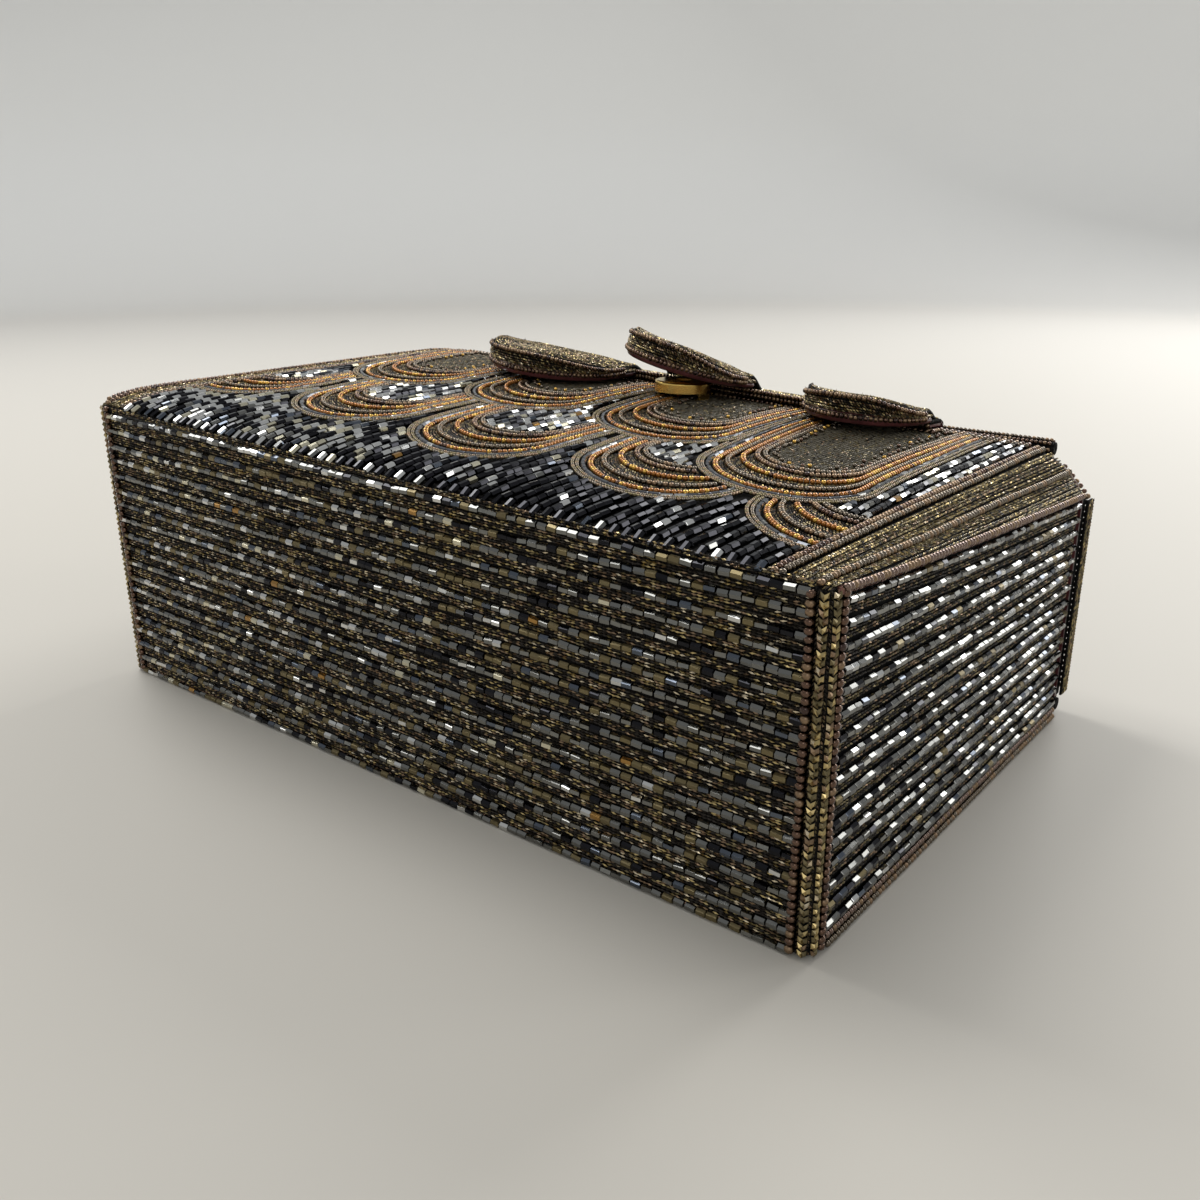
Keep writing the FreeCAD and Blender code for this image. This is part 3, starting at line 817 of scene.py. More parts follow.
# middle and lowest point of each scale's outline; the upper ones lie over the lower ones
UPPER_SCALES = [(66.0, -28.0), (24.0, -8.5), (-19.5, -6.0), (-63.0, -5.0)]
LOWER_SCALES = [(47.5, -44.5), (4.0, -47.0), (-39.5, -43.5), (91.0, -50.0), (-83.0, -42.0)]
FIELD_LEFT = -88.5
FIELD_RIGHT = 87.5
INTERIOR_SIDE = 9.6          # from a scale's outline to its plain middle, at its sides and at its foot
INTERIOR_FOOT = 24.2
FILL_PITCH = 0.78
FABRIC_PITCH = 0.85
COLUMN_PITCH = 2.4           # of the bugles inside a lower scale
FIELD_COLUMNS = 62
BACK_COLUMNS = 56


def lean(h):
    """How far a scale leans left at a height above its lowest point."""
    return -SCALE_LEAN * (1 - np.exp(-np.maximum(h, 0) / SCALE_LEAN_RUN))


def half_width(h, side_inset=0.0, foot_inset=0.0):
    """Half a scale's width at a height above its lowest point, with its sides and foot moved inwards."""
    radius = SCALE_RADIUS - side_inset
    low = h - foot_inset
    dip = np.clip(radius - low, 0, None)
    round_part = np.sqrt(np.clip(radius ** 2 - dip ** 2, 0, None))
    straight = radius + SCALE_FLARE * np.maximum(0, low - radius)
    return np.where(low < radius, round_part, np.minimum(straight, SCALE_PITCH / 2 - side_inset))


def scale_line(scale, side_inset, foot_inset, arc_only=False):
    """Line that follows a scale's outline at an inset, from its top left round to its top right."""
    middle, foot = scale
    radius = SCALE_RADIUS - side_inset
    arc = np.linspace(0, math.pi / (2.3 if arc_only else 2), 40)
    y = foot + foot_inset + radius * (1 - np.cos(arc))
    half = radius * np.sin(arc)
    if not arc_only:
        high = np.linspace(foot + foot_inset + radius, SCALE_TOP, 40)[1:]
        y = np.concatenate([y, high])
        half = np.concatenate([half, half_width(high - foot, side_inset, foot_inset)])
    x_mid = middle + lean(y - foot)
    return np.concatenate([(x_mid - half)[::-1], (x_mid + half)[1:]]), np.concatenate([y[::-1], y[1:]])


def inside(scale, x, y, margin=0.0):
    """Whether points lie within a scale's outline, let out by a margin."""
    middle, foot = scale
    h = y - foot
    away = np.abs(x - middle - lean(h))
    return (h > -margin) & (away < half_width(h + margin) + margin)


def on_field(x, y):
    return (x > FIELD_LEFT) & (x < FIELD_RIGHT) & (y > -70) & (y < SCALE_TOP)


def clear_of(scales, margin):
    def keep(x, y):
        kept = on_field(x, y)
        for scale in scales:
            kept &= ~inside(scale, x, y, margin)
        return kept
    return keep


def nearest_upper(own):
    """Keeps points that are nearer to a scale's own middle than to the next upper scale's."""
    def keep(x, y):
        kept = on_field(x, y)
        for other in UPPER_SCALES:
            if other is not own:
                here = np.abs(x - own[0] - lean(y - own[1]))
                there = np.abs(x - other[0] - lean(y - other[1]))
                kept &= (here < there) | ~inside(other, x, y, 0.4)
        return kept
    return keep


def build_scale(scale, keep, glass, grains, threads):
    """Rows that follow one scale, from its outline inwards."""
    for side, foot in ((0.45, 0.5), (1.4, 1.5)):
        x, y = scale_line(scale, side, foot)
        seeds(grains, front, x, y, OUTLINE_SEEDS, size=FINE_SEED_SIZE, pitch=0.8, keep=keep, rise=0.3,
              wander=0.05)
    x, y = scale_line(scale, 2.5, 2.9)
    strand(glass, front, x, y, BUGLE, SLIM_BUGLE_SIZE, BUGLE_PITCH, OUTLINE_BUGLES, keep=keep, roll=5,
           loose=0.05)
    small = dict(size=SMALL_SEED_SIZE, pitch=SMALL_PITCH, keep=keep, wander=0.06)
    rows = (
        (3.9, 4.9, ORANGE_SEEDS),
        (5.2, 9.4, SILVER_SEEDS),
        (6.6, 15.0, ORANGE_SEEDS),
        (7.9, 20.5, BRONZE_SEEDS),
        (9.0, 23.0, SILVER_SEEDS),
    )
    for side, foot, mix in rows:
        x, y = scale_line(scale, side, foot)
        seeds(grains, front, x, y, mix, **small)
    for (side, foot, _), (next_side, next_foot, _) in zip(rows, rows[1:]):
        fill = int((next_foot - foot) / FILL_PITCH) - 1
        for i in range(1, fill + 1):
            share = i / (fill + 1)
            x, y = scale_line(scale, side + (next_side - side) * share, foot + (next_foot - foot) * share,
                              arc_only=True)
            purl(threads, front, x, y, OLIVE_PURL if i in (1, fill) else DARK_PURL, 0.5, keep=keep)


def in_interior(scale, x, y):
    """Whether points lie in the plain middle of a scale."""
    middle, foot = scale
    h = y - foot
    return (h > INTERIOR_FOOT) & (np.abs(x - middle - lean(h)) < half_width(h, INTERIOR_SIDE, INTERIOR_FOOT))


def build_scale_cloth(name, scale, threads):
    """Woven panel inside an upper scale, close-stitched, with beads scattered near its edge."""
    middle, foot = scale
    y = np.linspace(foot + INTERIOR_FOOT + 0.05, SCALE_TOP, 50)[:, None] * np.ones((1, 24))
    half = half_width(y - foot, INTERIOR_SIDE, INTERIOR_FOOT)
    x = middle + lean(y - foot) + half * np.linspace(-1, 1, 24)[None, :]
    x = np.clip(x, FIELD_LEFT + 0.5, FIELD_RIGHT - 0.5)
    wall_slab(name, front, x, y, olive_cloth, "box", "lining_satin", thickness=0.45, rise=0.4)
    up = line(foot + INTERIOR_FOOT, SCALE_TOP)

    def keep(a, b):
        return on_field(a, b) & in_interior(scale, a, b)

    reach = int(SCALE_RADIUS / FABRIC_PITCH) + 4
    for i in range(-reach, reach + 1):
        purl(threads, front, middle - 6 + FABRIC_PITCH * i + 0 * up, up, FABRIC, 0.3, keep=keep, rise=0.3)
    grains = []
    for inset, pitch in ((1.2, 2.6), (2.8, 4.6)):
        line_x, line_y = scale_line(scale, INTERIOR_SIDE + inset * 0.6, INTERIOR_FOOT + inset)
        # the yellow seeds scattered here are painted highlights too
        seeds(grains, front, line_x, line_y, {"painted_glint_yellow": 25, "silver_bronze": 55, "copper": 20},
              size=(0.8, 0.9, 0.9), pitch=pitch, wander=0.8, rise=0.5, keep=on_field)
    return grains


def build_front():
    """The front's cloth, lower field of bugles and scales."""
    x, y = grid(-HALF_LENGTH + PIPING + 0.1, HALF_LENGTH - PIPING - 0.1, 90, -63.6, MOUTH_EDGE, 60)
    cloth = wall_slab("front_cloth", front, x, y)
    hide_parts("front_cover")
    field, glass, grains, lower_grains, threads, fabric = [], [], [], [], [], []
    outside = clear_of(UPPER_SCALES + LOWER_SCALES, 0.5)
    for i in range(FIELD_COLUMNS):
        column = FIELD_LEFT + 0.9 + (FIELD_RIGHT - FIELD_LEFT - 1.8) * i / (FIELD_COLUMNS - 1)
        up = line(-62.6, SCALE_TOP)
        bow = column + 0.25 * np.sin(up / 11 + i)
        bugles(field, front, bow, up, mix=FIELD_BUGLES, mix_left=FIELD_LEFT_PAINTED_GLINT_BUGLES, keep=outside, roll=9,
               loose=0.3)
    for scale in UPPER_SCALES:
        build_scale(scale, nearest_upper(scale), glass, grains, threads)
    above_lower = clear_of(UPPER_SCALES, 0.2)
    for scale in LOWER_SCALES:
        build_scale(scale, above_lower, glass, lower_grains, threads)
    for scale in LOWER_SCALES:
        build_lower_interior(scale, field)
    for i, scale in enumerate(UPPER_SCALES):
        grains += build_scale_cloth(f"scale_cloth_{i + 1}", scale, fabric)
    bead_piece("front_field_bugles", field, "box")
    bead_piece("front_scale_bugles", glass, "box")
    bead_piece("front_upper_scale_seeds", grains)
    bead_piece("front_lower_scale_seeds", lower_grains)
    bead_piece("front_scale_purl", threads)
    bead_piece("front_scale_fabric", fabric, "box")


def build_lower_interior(scale, field):
    """Columns of bugles inside a lower scale, up to where the upper ones cover it."""
    clear = clear_of(UPPER_SCALES, 0.6)

    def keep(x, y):
        return clear(x, y) & in_interior(scale, x, y)

    up = line(scale[1] + INTERIOR_FOOT, SCALE_TOP)
    reach = int(SCALE_RADIUS / COLUMN_PITCH) + 1
    for i in range(-reach, reach + 1):
        column = scale[0] + COLUMN_PITCH * (i + 0.5) + lean(up - scale[1]) * 0.7
        # these columns use the mix whose extra silver and cream bugles are painted highlights
        bugles(field, front, column, up, mix=FIELD_LEFT_PAINTED_GLINT_BUGLES, keep=keep, loose=0.35, wander=0.08)


def build_borders():
    """Rows of seeds and purl along both ends and the mouth edge of the front."""
    grains, threads = [], []
    for side in (-1, 1):
        y = line(-61.5, MOUTH_EDGE - 0.6)

        def at(distance):
            return side * (HALF_LENGTH - distance)

        seeds(grains, front, at(11.5), y, BRONZE_SEEDS, size=BORDER_SEED_SIZE, pitch=BORDER_PITCH)
        seeds(grains, front, at(10.0), y, SILVER_SEEDS, size=BORDER_SEED_SIZE, pitch=BORDER_PITCH)
        for distance in (1.6, 2.0, 2.4, 2.8):
            purl(threads, front, at(distance), y, OLIVE_PURL, 0.5, rise=0.2)
        for distance, strands in ((7.4, 5), (5.2, 2), (4.3, 1), (12.6, 1)):
            purl(threads, front, at(distance), y, OLIVE_PURL, 0.62 * strands, strands=strands,
                 across=(1, 0), rise=0.15)
        purl(threads, front, at(7.9), y, BRIGHT_PURL, 1.2, strands=2, across=(1, 0), rise=0.55)
        purl(threads, front, at(6.3), y, PETAL_PURL, 1.2, strands=2, across=(1, 0), rise=0.5)
        purl(threads, front, at(4.8), y, BRIGHT_PURL, 0.6, across=(1, 0), rise=0.5)
        seeds(grains, front, at(3.5), y, SILVER_SEEDS if side > 0 else BRONZE_SEEDS,
              size=BORDER_SEED_SIZE, pitch=BORDER_PITCH)
    x = line(-87.0, 87.0)
    for level, mix in ((MOUTH_EDGE - 1.0, COPPER_SEEDS), (MOUTH_EDGE - 2.6, SILVER_SEEDS)):
        seeds(grains, front, x, level, mix, wander=0.04)
    for level in (MOUTH_EDGE - 4.1, MOUTH_EDGE - 5.5):
        seeds(grains, front, x, level, BRONZE_SEEDS, wander=0.04, keep=lambda a, b: np.abs(a) < YOKE_HALF + 1)
    bead_piece("front_border_seeds", grains)
    bead_piece("front_border_purl", threads)


def build_back():
    """The back that the bag rests on, with plain columns of bugles."""
    a, b = grid(-98.5, 98.5, 30, -60.5, MOUTH_EDGE, 20)
    cloth = wall_slab("back_cloth", back, a, b)
    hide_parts("back_cover")
    batch = []
    for i in range(BACK_COLUMNS):
        column = -95 + 190 * i / (BACK_COLUMNS - 1)
        up = line(-58.5, MOUTH_EDGE - 1)
        bugles(batch, back, column, up, rise=-0.05, roll=4, loose=0)
    edge = []
    for side in (-1, 1):
        up = line(-59, MOUTH_EDGE - 1)
        seeds(edge, back, side * 97.4, up, COPPER_SEEDS, size=BACK_SEED_SIZE)
    along = line(-96, 96)
    seeds(edge, back, along, -60.3, COPPER_SEEDS, size=BACK_SEED_SIZE)
    bead_piece("back_bugles", batch, "box")
    bead_piece("back_border_seeds", edge)


def build_binding():
    """Satin strips that cover the walls' edges round the mouth."""
    thickness = 0.35
    near = MOUTH_EDGE - 0.15

    def strip(name, x, z):
        slab(name, stack(x, near + thickness, z), stack(x, near - thickness, z), satin, "box", "lining_satin")

    half = HALF_LENGTH - COVER
    inner_half = HALF_LENGTH - 5.4
    board = BOARD_TOP - BOARD_SLOPE * (MOUTH_EDGE + HALF_HEIGHT)
    strip("back_binding", *grid(-half, half, 40, 1.6, 5.3, 5))
    strip("front_binding", *grid(-half, half, 60, board - 3.3,
                                 lambda x: front_height(x, near) - BEAD_ROOM - 0.2, 5))
    for name, side in SIDES.items():
        low, high = sorted((side * inner_half, side * half))
        x, share = grid(low, high, 5, 0.0, 1.0, 30)
        strip(f"{name}_binding", x, 5.3 + (board - 3.3 - 5.3) * share)


def build_wadding():
    """Soft padding between the front's board and its cloth."""
    x, y = grid(-97.0, 97.0, 60, -58.6, MOUTH_EDGE - 0.3, 40)
    top = front_height(x, y) - COVER - 0.1
    base = BOARD_TOP - BOARD_SLOPE * (y + HALF_HEIGHT) + 0.05
    puff = 0.12 * np.sin(x / 3.1) * np.cos(y / 2.7)
    over = stack(x, y, np.maximum(top - 0.15 + puff, base + 0.1))
    piece = slab("front_wadding", over, stack(x, y, base), wadding, "box", "padding")
    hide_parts("front_padding")


# ---------------------------------------------------------------- flap and petals

RIM_BULGE = 0.5
RIM_FOOT = 0.9
RIM_SHARE = 0.86             # height of the rim's purl, as a share of the petal's edge
PETAL_FULL = 6.2
PETAL_THIN = 2.8
ROOT_SHARE = 0.4             # height of a petal's root, as a share of its tip's
HEM_LOW = -0.7
HEM_HIGH = 1.8
RING_PITCH = 0.8
RIM_LEVELS = 9
TUFTS = 90                   # loose ends of thread on each petal
WEB_TURN = 115               # where the web meets the fold's roll, in degrees from +Y
WEB_REACH = 2.7              # and how far from its axis


def petal_frame(centre_x, root_z, lift, roll):
    """Turns a petal's own points into the bag's frame."""
    tip_up = Quaternion((1, 0, 0), -math.radians(lift))
    side_up = Quaternion((0, 1, 0), math.radians(roll))
    turn = np.array((tip_up @ side_up).to_matrix())
    start = np.array([centre_x, PETAL_ROOT_Y, root_z])
    return turn, start


def petal_top(u, full, thin):
    """Height of a petal's edge above its underside: full to the left, thinning to its right end."""
    fall = np.clip((u - 0.25) / 0.75, 0, 1)
    return full - (full - thin) * fall ** 2


def petal_wall(sizes, full, thin):
    """A petal's upper face: across it from -1 to 1, and along it from root to tip, 0 to 1."""
    centre_x, half_width, length, root_z, lift, roll = sizes
    turn, start = petal_frame(centre_x, root_z, lift, roll)

    def shape(u, v):
        u, v = matched(u, v)
        tip = PETAL_TIP_ROUND * half_width
        straight = length - tip
        end = straight + tip * np.sqrt(np.clip(1 - u ** 2, 0, 1))
        edge = np.minimum(half_width * (1 - np.abs(u)), end * (1 - v))
        dome = 1 - np.exp(-np.maximum(edge, 0) / 1.6)
        z = petal_top(u, full, thin) * (ROOT_SHARE + (1 - ROOT_SHARE) * v) * (0.84 + 0.16 * dome)
        z = np.maximum(z, PETAL_LAYERS + 0.15)
        return stack(half_width * u, -end * v, z)

    def wall(u, v):
        step = 0.01
        here = shape(u, v)
        along_u = shape(np.clip(u + step, -1, 1), v) - shape(np.clip(u - step, -1, 1), v)
        along_v = shape(u, np.clip(v + step, 0, 1)) - shape(u, np.clip(v - step, 0, 1))
        normal = unit(np.cross(along_v, along_u))
        normal = np.where(normal[..., 2:] < 0, -normal, normal)
        normal = unit(normal + np.array([0, 0, 0.25]))
        return here @ turn.T + start, normal @ turn.T
    return wall


def petal_rim(sizes, low, full, thin):
    """A petal's edge face: round it from its left root to its right root, 0 to 1, and up it, 0 to 1."""
    centre_x, half_width, length, root_z, lift, roll = sizes
    turn, start = petal_frame(centre_x, root_z, lift, roll)

    def wall(s, t):
        s, t = matched(s, t)
        tip = PETAL_TIP_ROUND * half_width
        straight = length - tip
        leg = straight / (2 * straight + math.pi * half_width * PETAL_TIP_ROUND)
        around = np.clip((s - leg) / (1 - 2 * leg), 0, 1) * math.pi
        x = -half_width * np.cos(around)
        y = -straight - tip * np.sin(around)
        y = np.where(s < leg, -straight * s / leg, np.where(s > 1 - leg, -straight * (1 - s) / leg, y))
        out = unit(stack(-np.cos(around) * tip, -np.sin(around) * half_width, 0))
        tipward = ROOT_SHARE + (1 - ROOT_SHARE) * np.clip(-y / length, 0, 1)
        high = np.maximum(petal_top(x / half_width, full, thin) * tipward, low + 0.3)
        z = low + (high - low) * t
        points = stack(x, y, z) + out * (RIM_BULGE * np.sin(math.pi * t))[..., None]
        normal = unit(out + stack(0, 0, 1.6 * (t - 0.45)))
        return points @ turn.T + start, normal @ turn.T
    return wall


def build_petal(name, sizes):
    """One petal: satin lining and hem, purl-covered rim and top, and loose threads standing on it."""
    body = f"petal_{name}"
    centre_x, half_width, length, root_z, lift, roll = sizes
    top = petal_wall(sizes, PETAL_FULL, PETAL_THIN)
    turn, start = petal_frame(centre_x, root_z, lift, roll)
    u, v = grid(-1, 1, 49, 0, 1, 33)
    outer, _ = top(u * 0.995, v)
    local = (outer - start) @ turn
    shelf = local.copy()
    shelf[..., 2] = PETAL_LAYERS + 0.02
    cover = slab(f"{body}_cloth", outer, shelf @ turn.T + start, black_cloth, body, "seed_beadwork")
    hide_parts(f"{body}_cover")
    hem = local * np.array([0.98, 0.98, 0])
    sag = hem + np.array([0, 0, 0.58])
    lining = slab(f"{body}_satin", sag @ turn.T + start, hem @ turn.T + start, satin, body, "lining_satin")
    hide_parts(f"{body}_lining")
    s, t = grid(0, 1, 80, 0, 1, 9)
    roll_out, roll_normal = petal_rim(sizes, HEM_LOW, HEM_HIGH, HEM_HIGH)(s, t)
    slab(f"{body}_hem", roll_out, roll_out - 0.9 * roll_normal, satin, body, "lining_satin")
    threads, grains = [], []
    turns = np.linspace(0, 1, 160)
    tip = PETAL_TIP_ROUND * half_width
    rim = petal_rim(sizes, RIM_FOOT, PETAL_FULL * RIM_SHARE, PETAL_THIN * RIM_SHARE)
    for i in range(RIM_LEVELS):
        mix = BRIGHT_PURL if i in (3, 8) else PETAL_PURL
        purl(threads, rim, turns, i / (RIM_LEVELS - 1), mix, 0)
    sewn = np.linspace(0.07, 0.93, 150)
    for level in (0.08, 0.95):
        seeds(grains, rim, sewn, level, BRONZE_SEEDS, size=SMALL_SEED_SIZE, pitch=SMALL_PITCH)
    straight = length - tip
    rings = int(half_width / RING_PITCH) - 1
    for ring in range(rings):
        inset = 0.8 + RING_PITCH * ring
        half = half_width - inset
        deep = max(0.2, tip - inset)
        bend = np.linspace(0, math.pi, 90)
        leg = np.linspace(0, 1, 20)[:-1]
        x = np.concatenate([0 * leg - half, -half * np.cos(bend), 0 * leg + half])
        y = np.concatenate([-straight * leg, -straight - deep * np.sin(bend), -straight * leg[::-1]])
        end = straight + tip * np.sqrt(np.clip(1 - (x / half_width) ** 2, 0, 1))
        purl(threads, top, x / half_width, -y / end, PETAL_PURL, 0)
    bead_piece(f"{body}_purl", threads, body)
    bead_piece(f"{body}_seeds", grains, body)
    build_tufts(body, rim)


def build_tufts(body, rim):
    """Loose ends of thread that stand up along a petal's rim."""
    centres, frames = [], []
    places = CHANCE.uniform(0.02, 0.98, TUFTS)
    points, normals = rim(places, 1.0)
    for point, normal in zip(points, normals):
        upward = unit(normal * 0.6 + np.array([0, 0, 0.9]) + CHANCE.normal(0, 0.5, 3))
        side = unit(np.cross(upward, np.array([0.3, 1.0, 0.1])))
        length = CHANCE.uniform(0.7, 1.7)
        frames.append(np.stack([upward * length, side * 0.3, np.cross(upward, side) * 0.3]))
        centres.append(point + upward * length * 0.4)
    tints = choose(PETAL_PURL, TUFTS)
    bead_piece(f"{body}_tufts", [(STITCH, np.array(centres), np.array(frames), tints)], body)


def build_yoke():
    """Cloth strip of the flap beside its fold, and the bands that carry the petals up from it."""
    lift = YOKE_RISE - 0.5

    def yoke(x, y):
        points, normal = front_wall(0)(x, y)
        return points + np.array([0, 0, lift]), normal

    x, y = grid(-YOKE_HALF, YOKE_HALF, 60, YOKE_FRONT, MOUTH_EDGE + 0.2, 8)
    outer, normal = yoke(x, y)
    cover = slab("flap_yoke_cloth", outer, outer - np.array([0, 0, 0.8]), black_cloth, "flap",
                 "bugle_beadwork")
    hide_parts("flap_yoke_cover")
    batch = []
    along = line(-YOKE_HALF + 0.6, YOKE_HALF - 0.6)
    for i in range(8):
        level = YOKE_FRONT + 0.5 + 0.72 * i
        purl(batch, yoke, along, level, OLIVE_PURL if i % 2 else BRIGHT_PURL, 0)
    brow = line(-YOKE_HALF, YOKE_HALF)
    for drop in (0.2, -0.9):
        def below(x, y):
            points, normal = yoke(x, y)
            return points - np.array([0, 0, drop + 1.0]), normal

        seeds(batch, below, brow, YOKE_FRONT - 0.35, BRONZE_SEEDS, size=SMALL_SEED_SIZE, pitch=1.1,
              wander=0.03, rise=-0.6)
    bead_piece("flap_yoke_purl", batch, "flap")
    build_web(yoke)
    for name, sizes in PETALS.items():
        build_neck(name, sizes, yoke)


def build_web(yoke):
    """Cloth from the yoke down to the flap's fold, where it slides round the roll as the flap turns."""
    rest = math.radians(WEB_TURN)
    back = MOUTH_EDGE + 0.2

    def web(x, t):
        x, t = matched(x, t)
        upper, _ = yoke(x, back - 0.4)
        lower = stack(x, FOLD_Y + WEB_REACH * math.cos(rest), FLAP_FOLD_Z + WEB_REACH * math.sin(rest))
        points = upper + (lower - upper) * t[..., None]
        points[..., 1] += 0.7 * np.sin(math.pi * t)
        return points, np.broadcast_to(np.array([0, 0.75, 0.66]), points.shape).copy()

    u, t = grid(-YOKE_HALF, YOKE_HALF, 60, 0, 1, 8)
    outer, normal = web(u, t)
    slab("flap_web_cloth", outer, outer - 0.4 * normal, black_cloth, "flap", "bugle_beadwork")
    slab("flap_web_satin", outer - 0.42 * normal, outer - 0.7 * normal, satin, "flap", "lining_satin")
    batch = []
    along = line(-YOKE_HALF + 0.6, YOKE_HALF - 0.6)
    for i in range(8):
        strand(batch, web, along, 0.06 + 0.125 * i, STITCH, STITCH_SIZE, 0.8,
               BRIGHT_PURL if i % 3 == 0 else OLIVE_PURL, slant=24 if i % 2 else -24)
    bead_piece("flap_web_purl", batch, "flap")


def build_neck(name, sizes, yoke):
    """Band of cloth and purl that rises from the yoke to a petal's root."""
    centre_x, half_width, _, root_z, _, _ = sizes
    half = half_width - 0.6
    far_y = 55.8
    top = petal_wall(sizes, PETAL_FULL, PETAL_THIN)

    def neck(x, t):
        x, t = matched(x, t)
        far, _ = yoke(centre_x + x, far_y)
        near, _ = top(x / half_width, 0.05)
        ease = t * t * (3 - 2 * t)
        points = far * (1 - ease)[..., None] + near * ease[..., None]
        points[..., 1] = far[..., 1] * (1 - t) + near[..., 1] * t
        points[..., 2] += 0.5 * np.sin(math.pi * t)
        return points, unit(stack(0, 0.45 * np.sin(math.pi * t), 1))

    u, t = grid(-half, half, 30, 0, 1, 12)
    outer, normal = neck(u, t)
    cloth = slab(f"petal_{name}_neck_cloth", outer, outer - 0.7 * normal, black_cloth, None, "bugle_beadwork")
    batch = []
    for i in range(11):
        along = line(-half + 0.3, half - 0.3)
        purl(batch, neck, along, i / 10, OLIVE_PURL if i % 2 else BRIGHT_PURL, 0)
    threads = bead_piece(f"petal_{name}_neck_purl", batch, None)
    for piece in (cloth, threads):
        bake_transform(piece)


# ---------------------------------------------------------------- finishes of the CAD nodes that stay

def dress(nodes, made_of):
    """Gives CAD nodes a material."""
    for name in nodes:
        piece = node_objects[name]
        piece.data.materials.clear()
        piece.data.materials.append(made_of)


node_objects = {o["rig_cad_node"]: o for o in bpy.data.objects if "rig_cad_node" in o}

build_bottom()
build_lid()
build_fold("back_fold", "box", BACK_FOLD_Z, 99.0, "back_fold_welt")
build_fold("flap_fold", "lid", FLAP_FOLD_Z, 91.0, "flap_fold_welt")
for end_name, end_side in SIDES.items():
    build_end(end_name, end_side)
    build_corner(end_name, end_side)
build_front()
build_borders()
build_back()
build_wadding()
build_binding()
build_yoke()
for petal_name, petal_sizes in PETALS.items():
    build_petal(petal_name, petal_sizes)

LININGS = [n for n in node_objects if n.endswith("_lining")]
BOARDS = [n for n in node_objects if n.endswith("_board")]
dress(LININGS, satin)
dress(BOARDS, greyboard)
dress(["lid_board"], black_cloth)  # its cut corners show, so it is wrapped in cloth
dress(["snap_socket", "snap_stud"], gold)
dress(["snap_magnet"], magnet_steel)
dress(["snap_socket_plate", "snap_stud_plate"], plate_steel)

# ---------------------------------------------------------------- studio

STUDIO_RADIUS = 1.35
COVE = 0.22
WALL_TOP = 0.36
COVE_STEPS = 12
STUDIO_SIDES = 96


def studio_surface():
    """Warm pale grey in the middle, turning lighter and cooler towards the wall."""
    made = material("studio_surface", (0.5, 0.48, 0.46), 0, 0.65)
    link = made.node_tree.links.new
    place = add_node(made, "TexCoord")
    away = add_node(made, "VectorMath")
    away.operation = "LENGTH"
    share = add_node(made, "MapRange")
    set_inputs(share, {"From Min": 0.25, "From Max": STUDIO_RADIUS})
    ramp = add_ramp(made, (0, (0.57, 0.54, 0.48)), (0.72, (0.6, 0.58, 0.54)), (1, (0.79, 0.79, 0.77)))
    link(place.outputs["Object"], away.inputs[0])
    link(away.outputs["Value"], share.inputs["Value"])
    link(share.outputs["Result"], ramp.inputs["Fac"])
    link(ramp.outputs["Color"], shader_of(made).inputs["Base Color"])
    return made


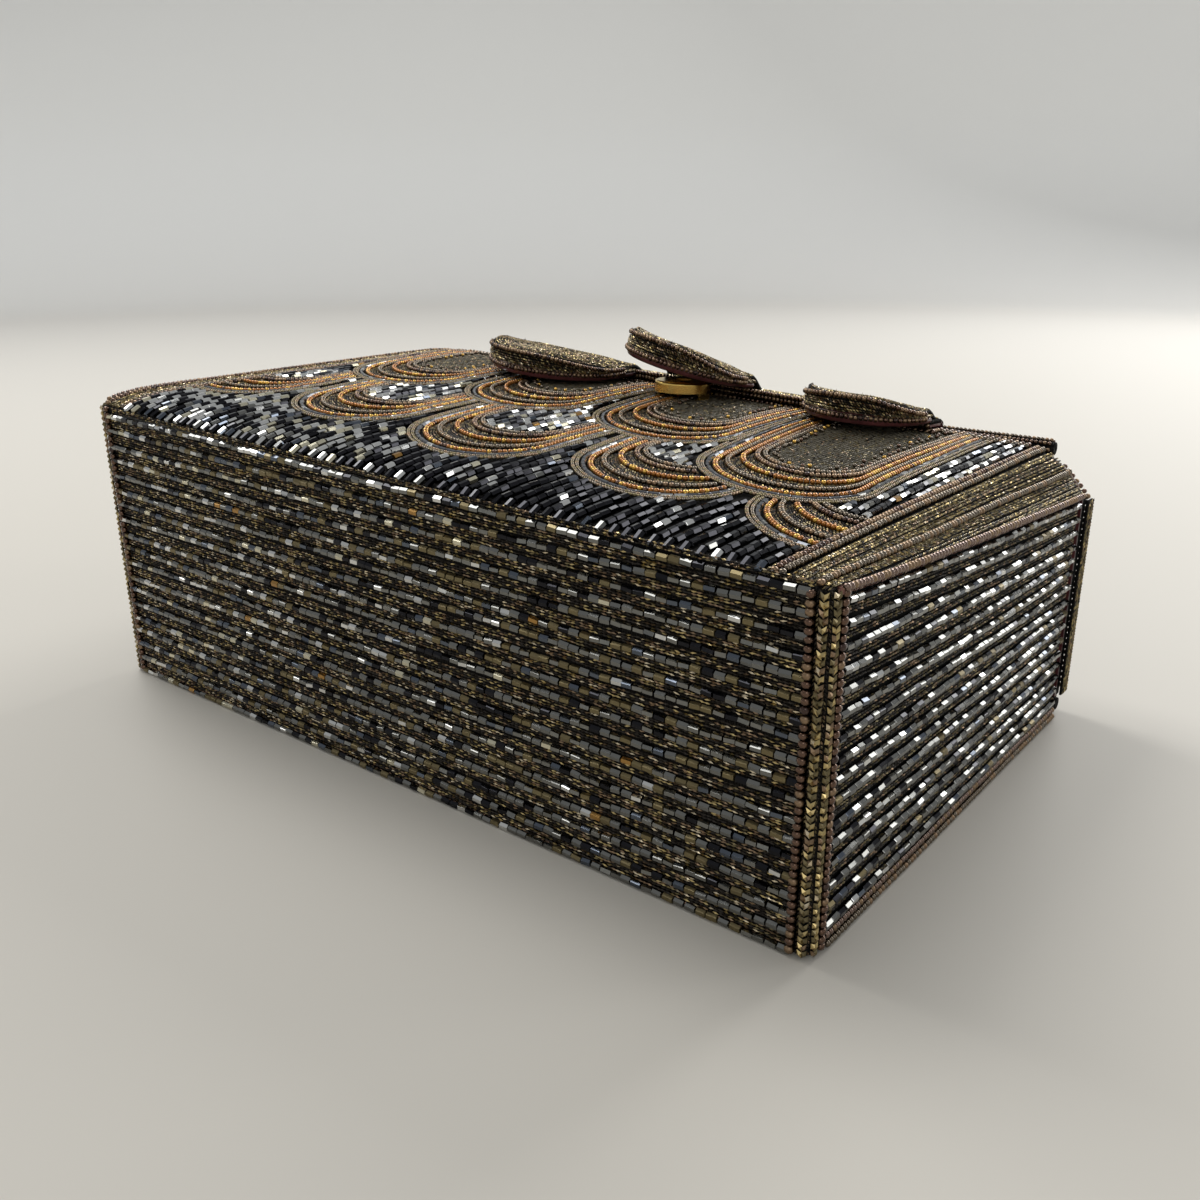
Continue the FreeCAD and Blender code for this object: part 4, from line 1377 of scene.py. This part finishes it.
def build_studio():
    """Pale floor that curves up into a low pale wall all round."""
    profile = [(0.0, 0.0), (STUDIO_RADIUS - COVE, 0.0)]
    for i in range(1, COVE_STEPS + 1):
        turn = math.pi / 2 * i / COVE_STEPS
        profile.append((STUDIO_RADIUS - COVE + COVE * math.sin(turn), COVE - COVE * math.cos(turn)))
    profile.append((STUDIO_RADIUS, WALL_TOP))
    points = [(0.0, 0.0, 0.0)]
    faces = []
    for radius, height in profile[1:]:
        for k in range(STUDIO_SIDES):
            angle = 2 * math.pi * k / STUDIO_SIDES
            points.append((radius * math.cos(angle), radius * math.sin(angle), height))
    for k in range(STUDIO_SIDES):
        faces.append((0, 1 + k, 1 + (k + 1) % STUDIO_SIDES))
    for ring in range(len(profile) - 2):
        low = 1 + ring * STUDIO_SIDES
        for k in range(STUDIO_SIDES):
            j = (k + 1) % STUDIO_SIDES
            faces.append((low + k, low + STUDIO_SIDES + k, low + STUDIO_SIDES + j, low + j))
    mesh = bpy.data.meshes.new("studio")
    mesh.from_pydata(points, [], faces)
    for face in mesh.polygons:
        face.use_smooth = True
    floor = into_scene("studio", mesh)
    mesh.materials.append(studio_surface())


def softbox(name, place, target, width, height, radiance):
    """Area light aimed at a point, as bright as its radiance says whatever its size."""
    light = bpy.data.lights.new(name, "AREA")
    light.shape = "RECTANGLE"
    light.size = width
    light.size_y = height
    light.energy = radiance * math.pi * width * height
    lamp = into_scene(name, light)
    lamp.location = place
    lamp.rotation_euler = (Vector(target) - Vector(place)).to_track_quat("-Z", "Y").to_euler()
    lamp.visible_camera = False


build_studio()
softbox("overhead", (-0.6, 0.08, 0.85), (0, 0, 0.03), 0.45, 0.8, 5.6)
softbox("far_side", (0.06, 0.95, 0.6), (0, 0, 0.03), 0.5, 0.75, 5.2)
softbox("back_right", (0.75, 0.8, 0.4), (0, 0, 0.05), 0.25, 0.25, 5.0)
softbox("near_fill", (0.6, -1.0, 0.9), (0, 0, 0), 0.6, 0.6, 1.4)

world = bpy.data.worlds.new("studio_air")
world.use_nodes = True
world.node_tree.nodes["Background"].inputs["Color"].default_value = (0.5, 0.51, 0.52, 1)
world.node_tree.nodes["Background"].inputs["Strength"].default_value = 0.8
bpy.context.scene.world = world

CAMERA_PLACE = (0.16983, -0.20346, 0.11755)
CAMERA_YAW = math.radians(-38.58)
CAMERA_PITCH = math.radians(-19.534)
CAMERA_ROLL = math.radians(-0.196)
CAMERA_LENS = 34.5

camera_data = bpy.data.cameras.new("camera")
camera_data.lens = CAMERA_LENS
camera_data.sensor_width = 36.0
camera_data.clip_start = 0.01
camera = into_scene("camera", camera_data)
flatwise = math.cos(CAMERA_PITCH)
looking = Vector((flatwise * math.sin(CAMERA_YAW), flatwise * math.cos(CAMERA_YAW), math.sin(CAMERA_PITCH)))
camera.location = CAMERA_PLACE
camera.rotation_mode = "QUATERNION"
camera.rotation_quaternion = looking.to_track_quat("-Z", "Y") @ Quaternion((0, 0, 1), CAMERA_ROLL)
bpy.context.scene.camera = camera
bpy.context.scene.view_settings.view_transform = "Standard"
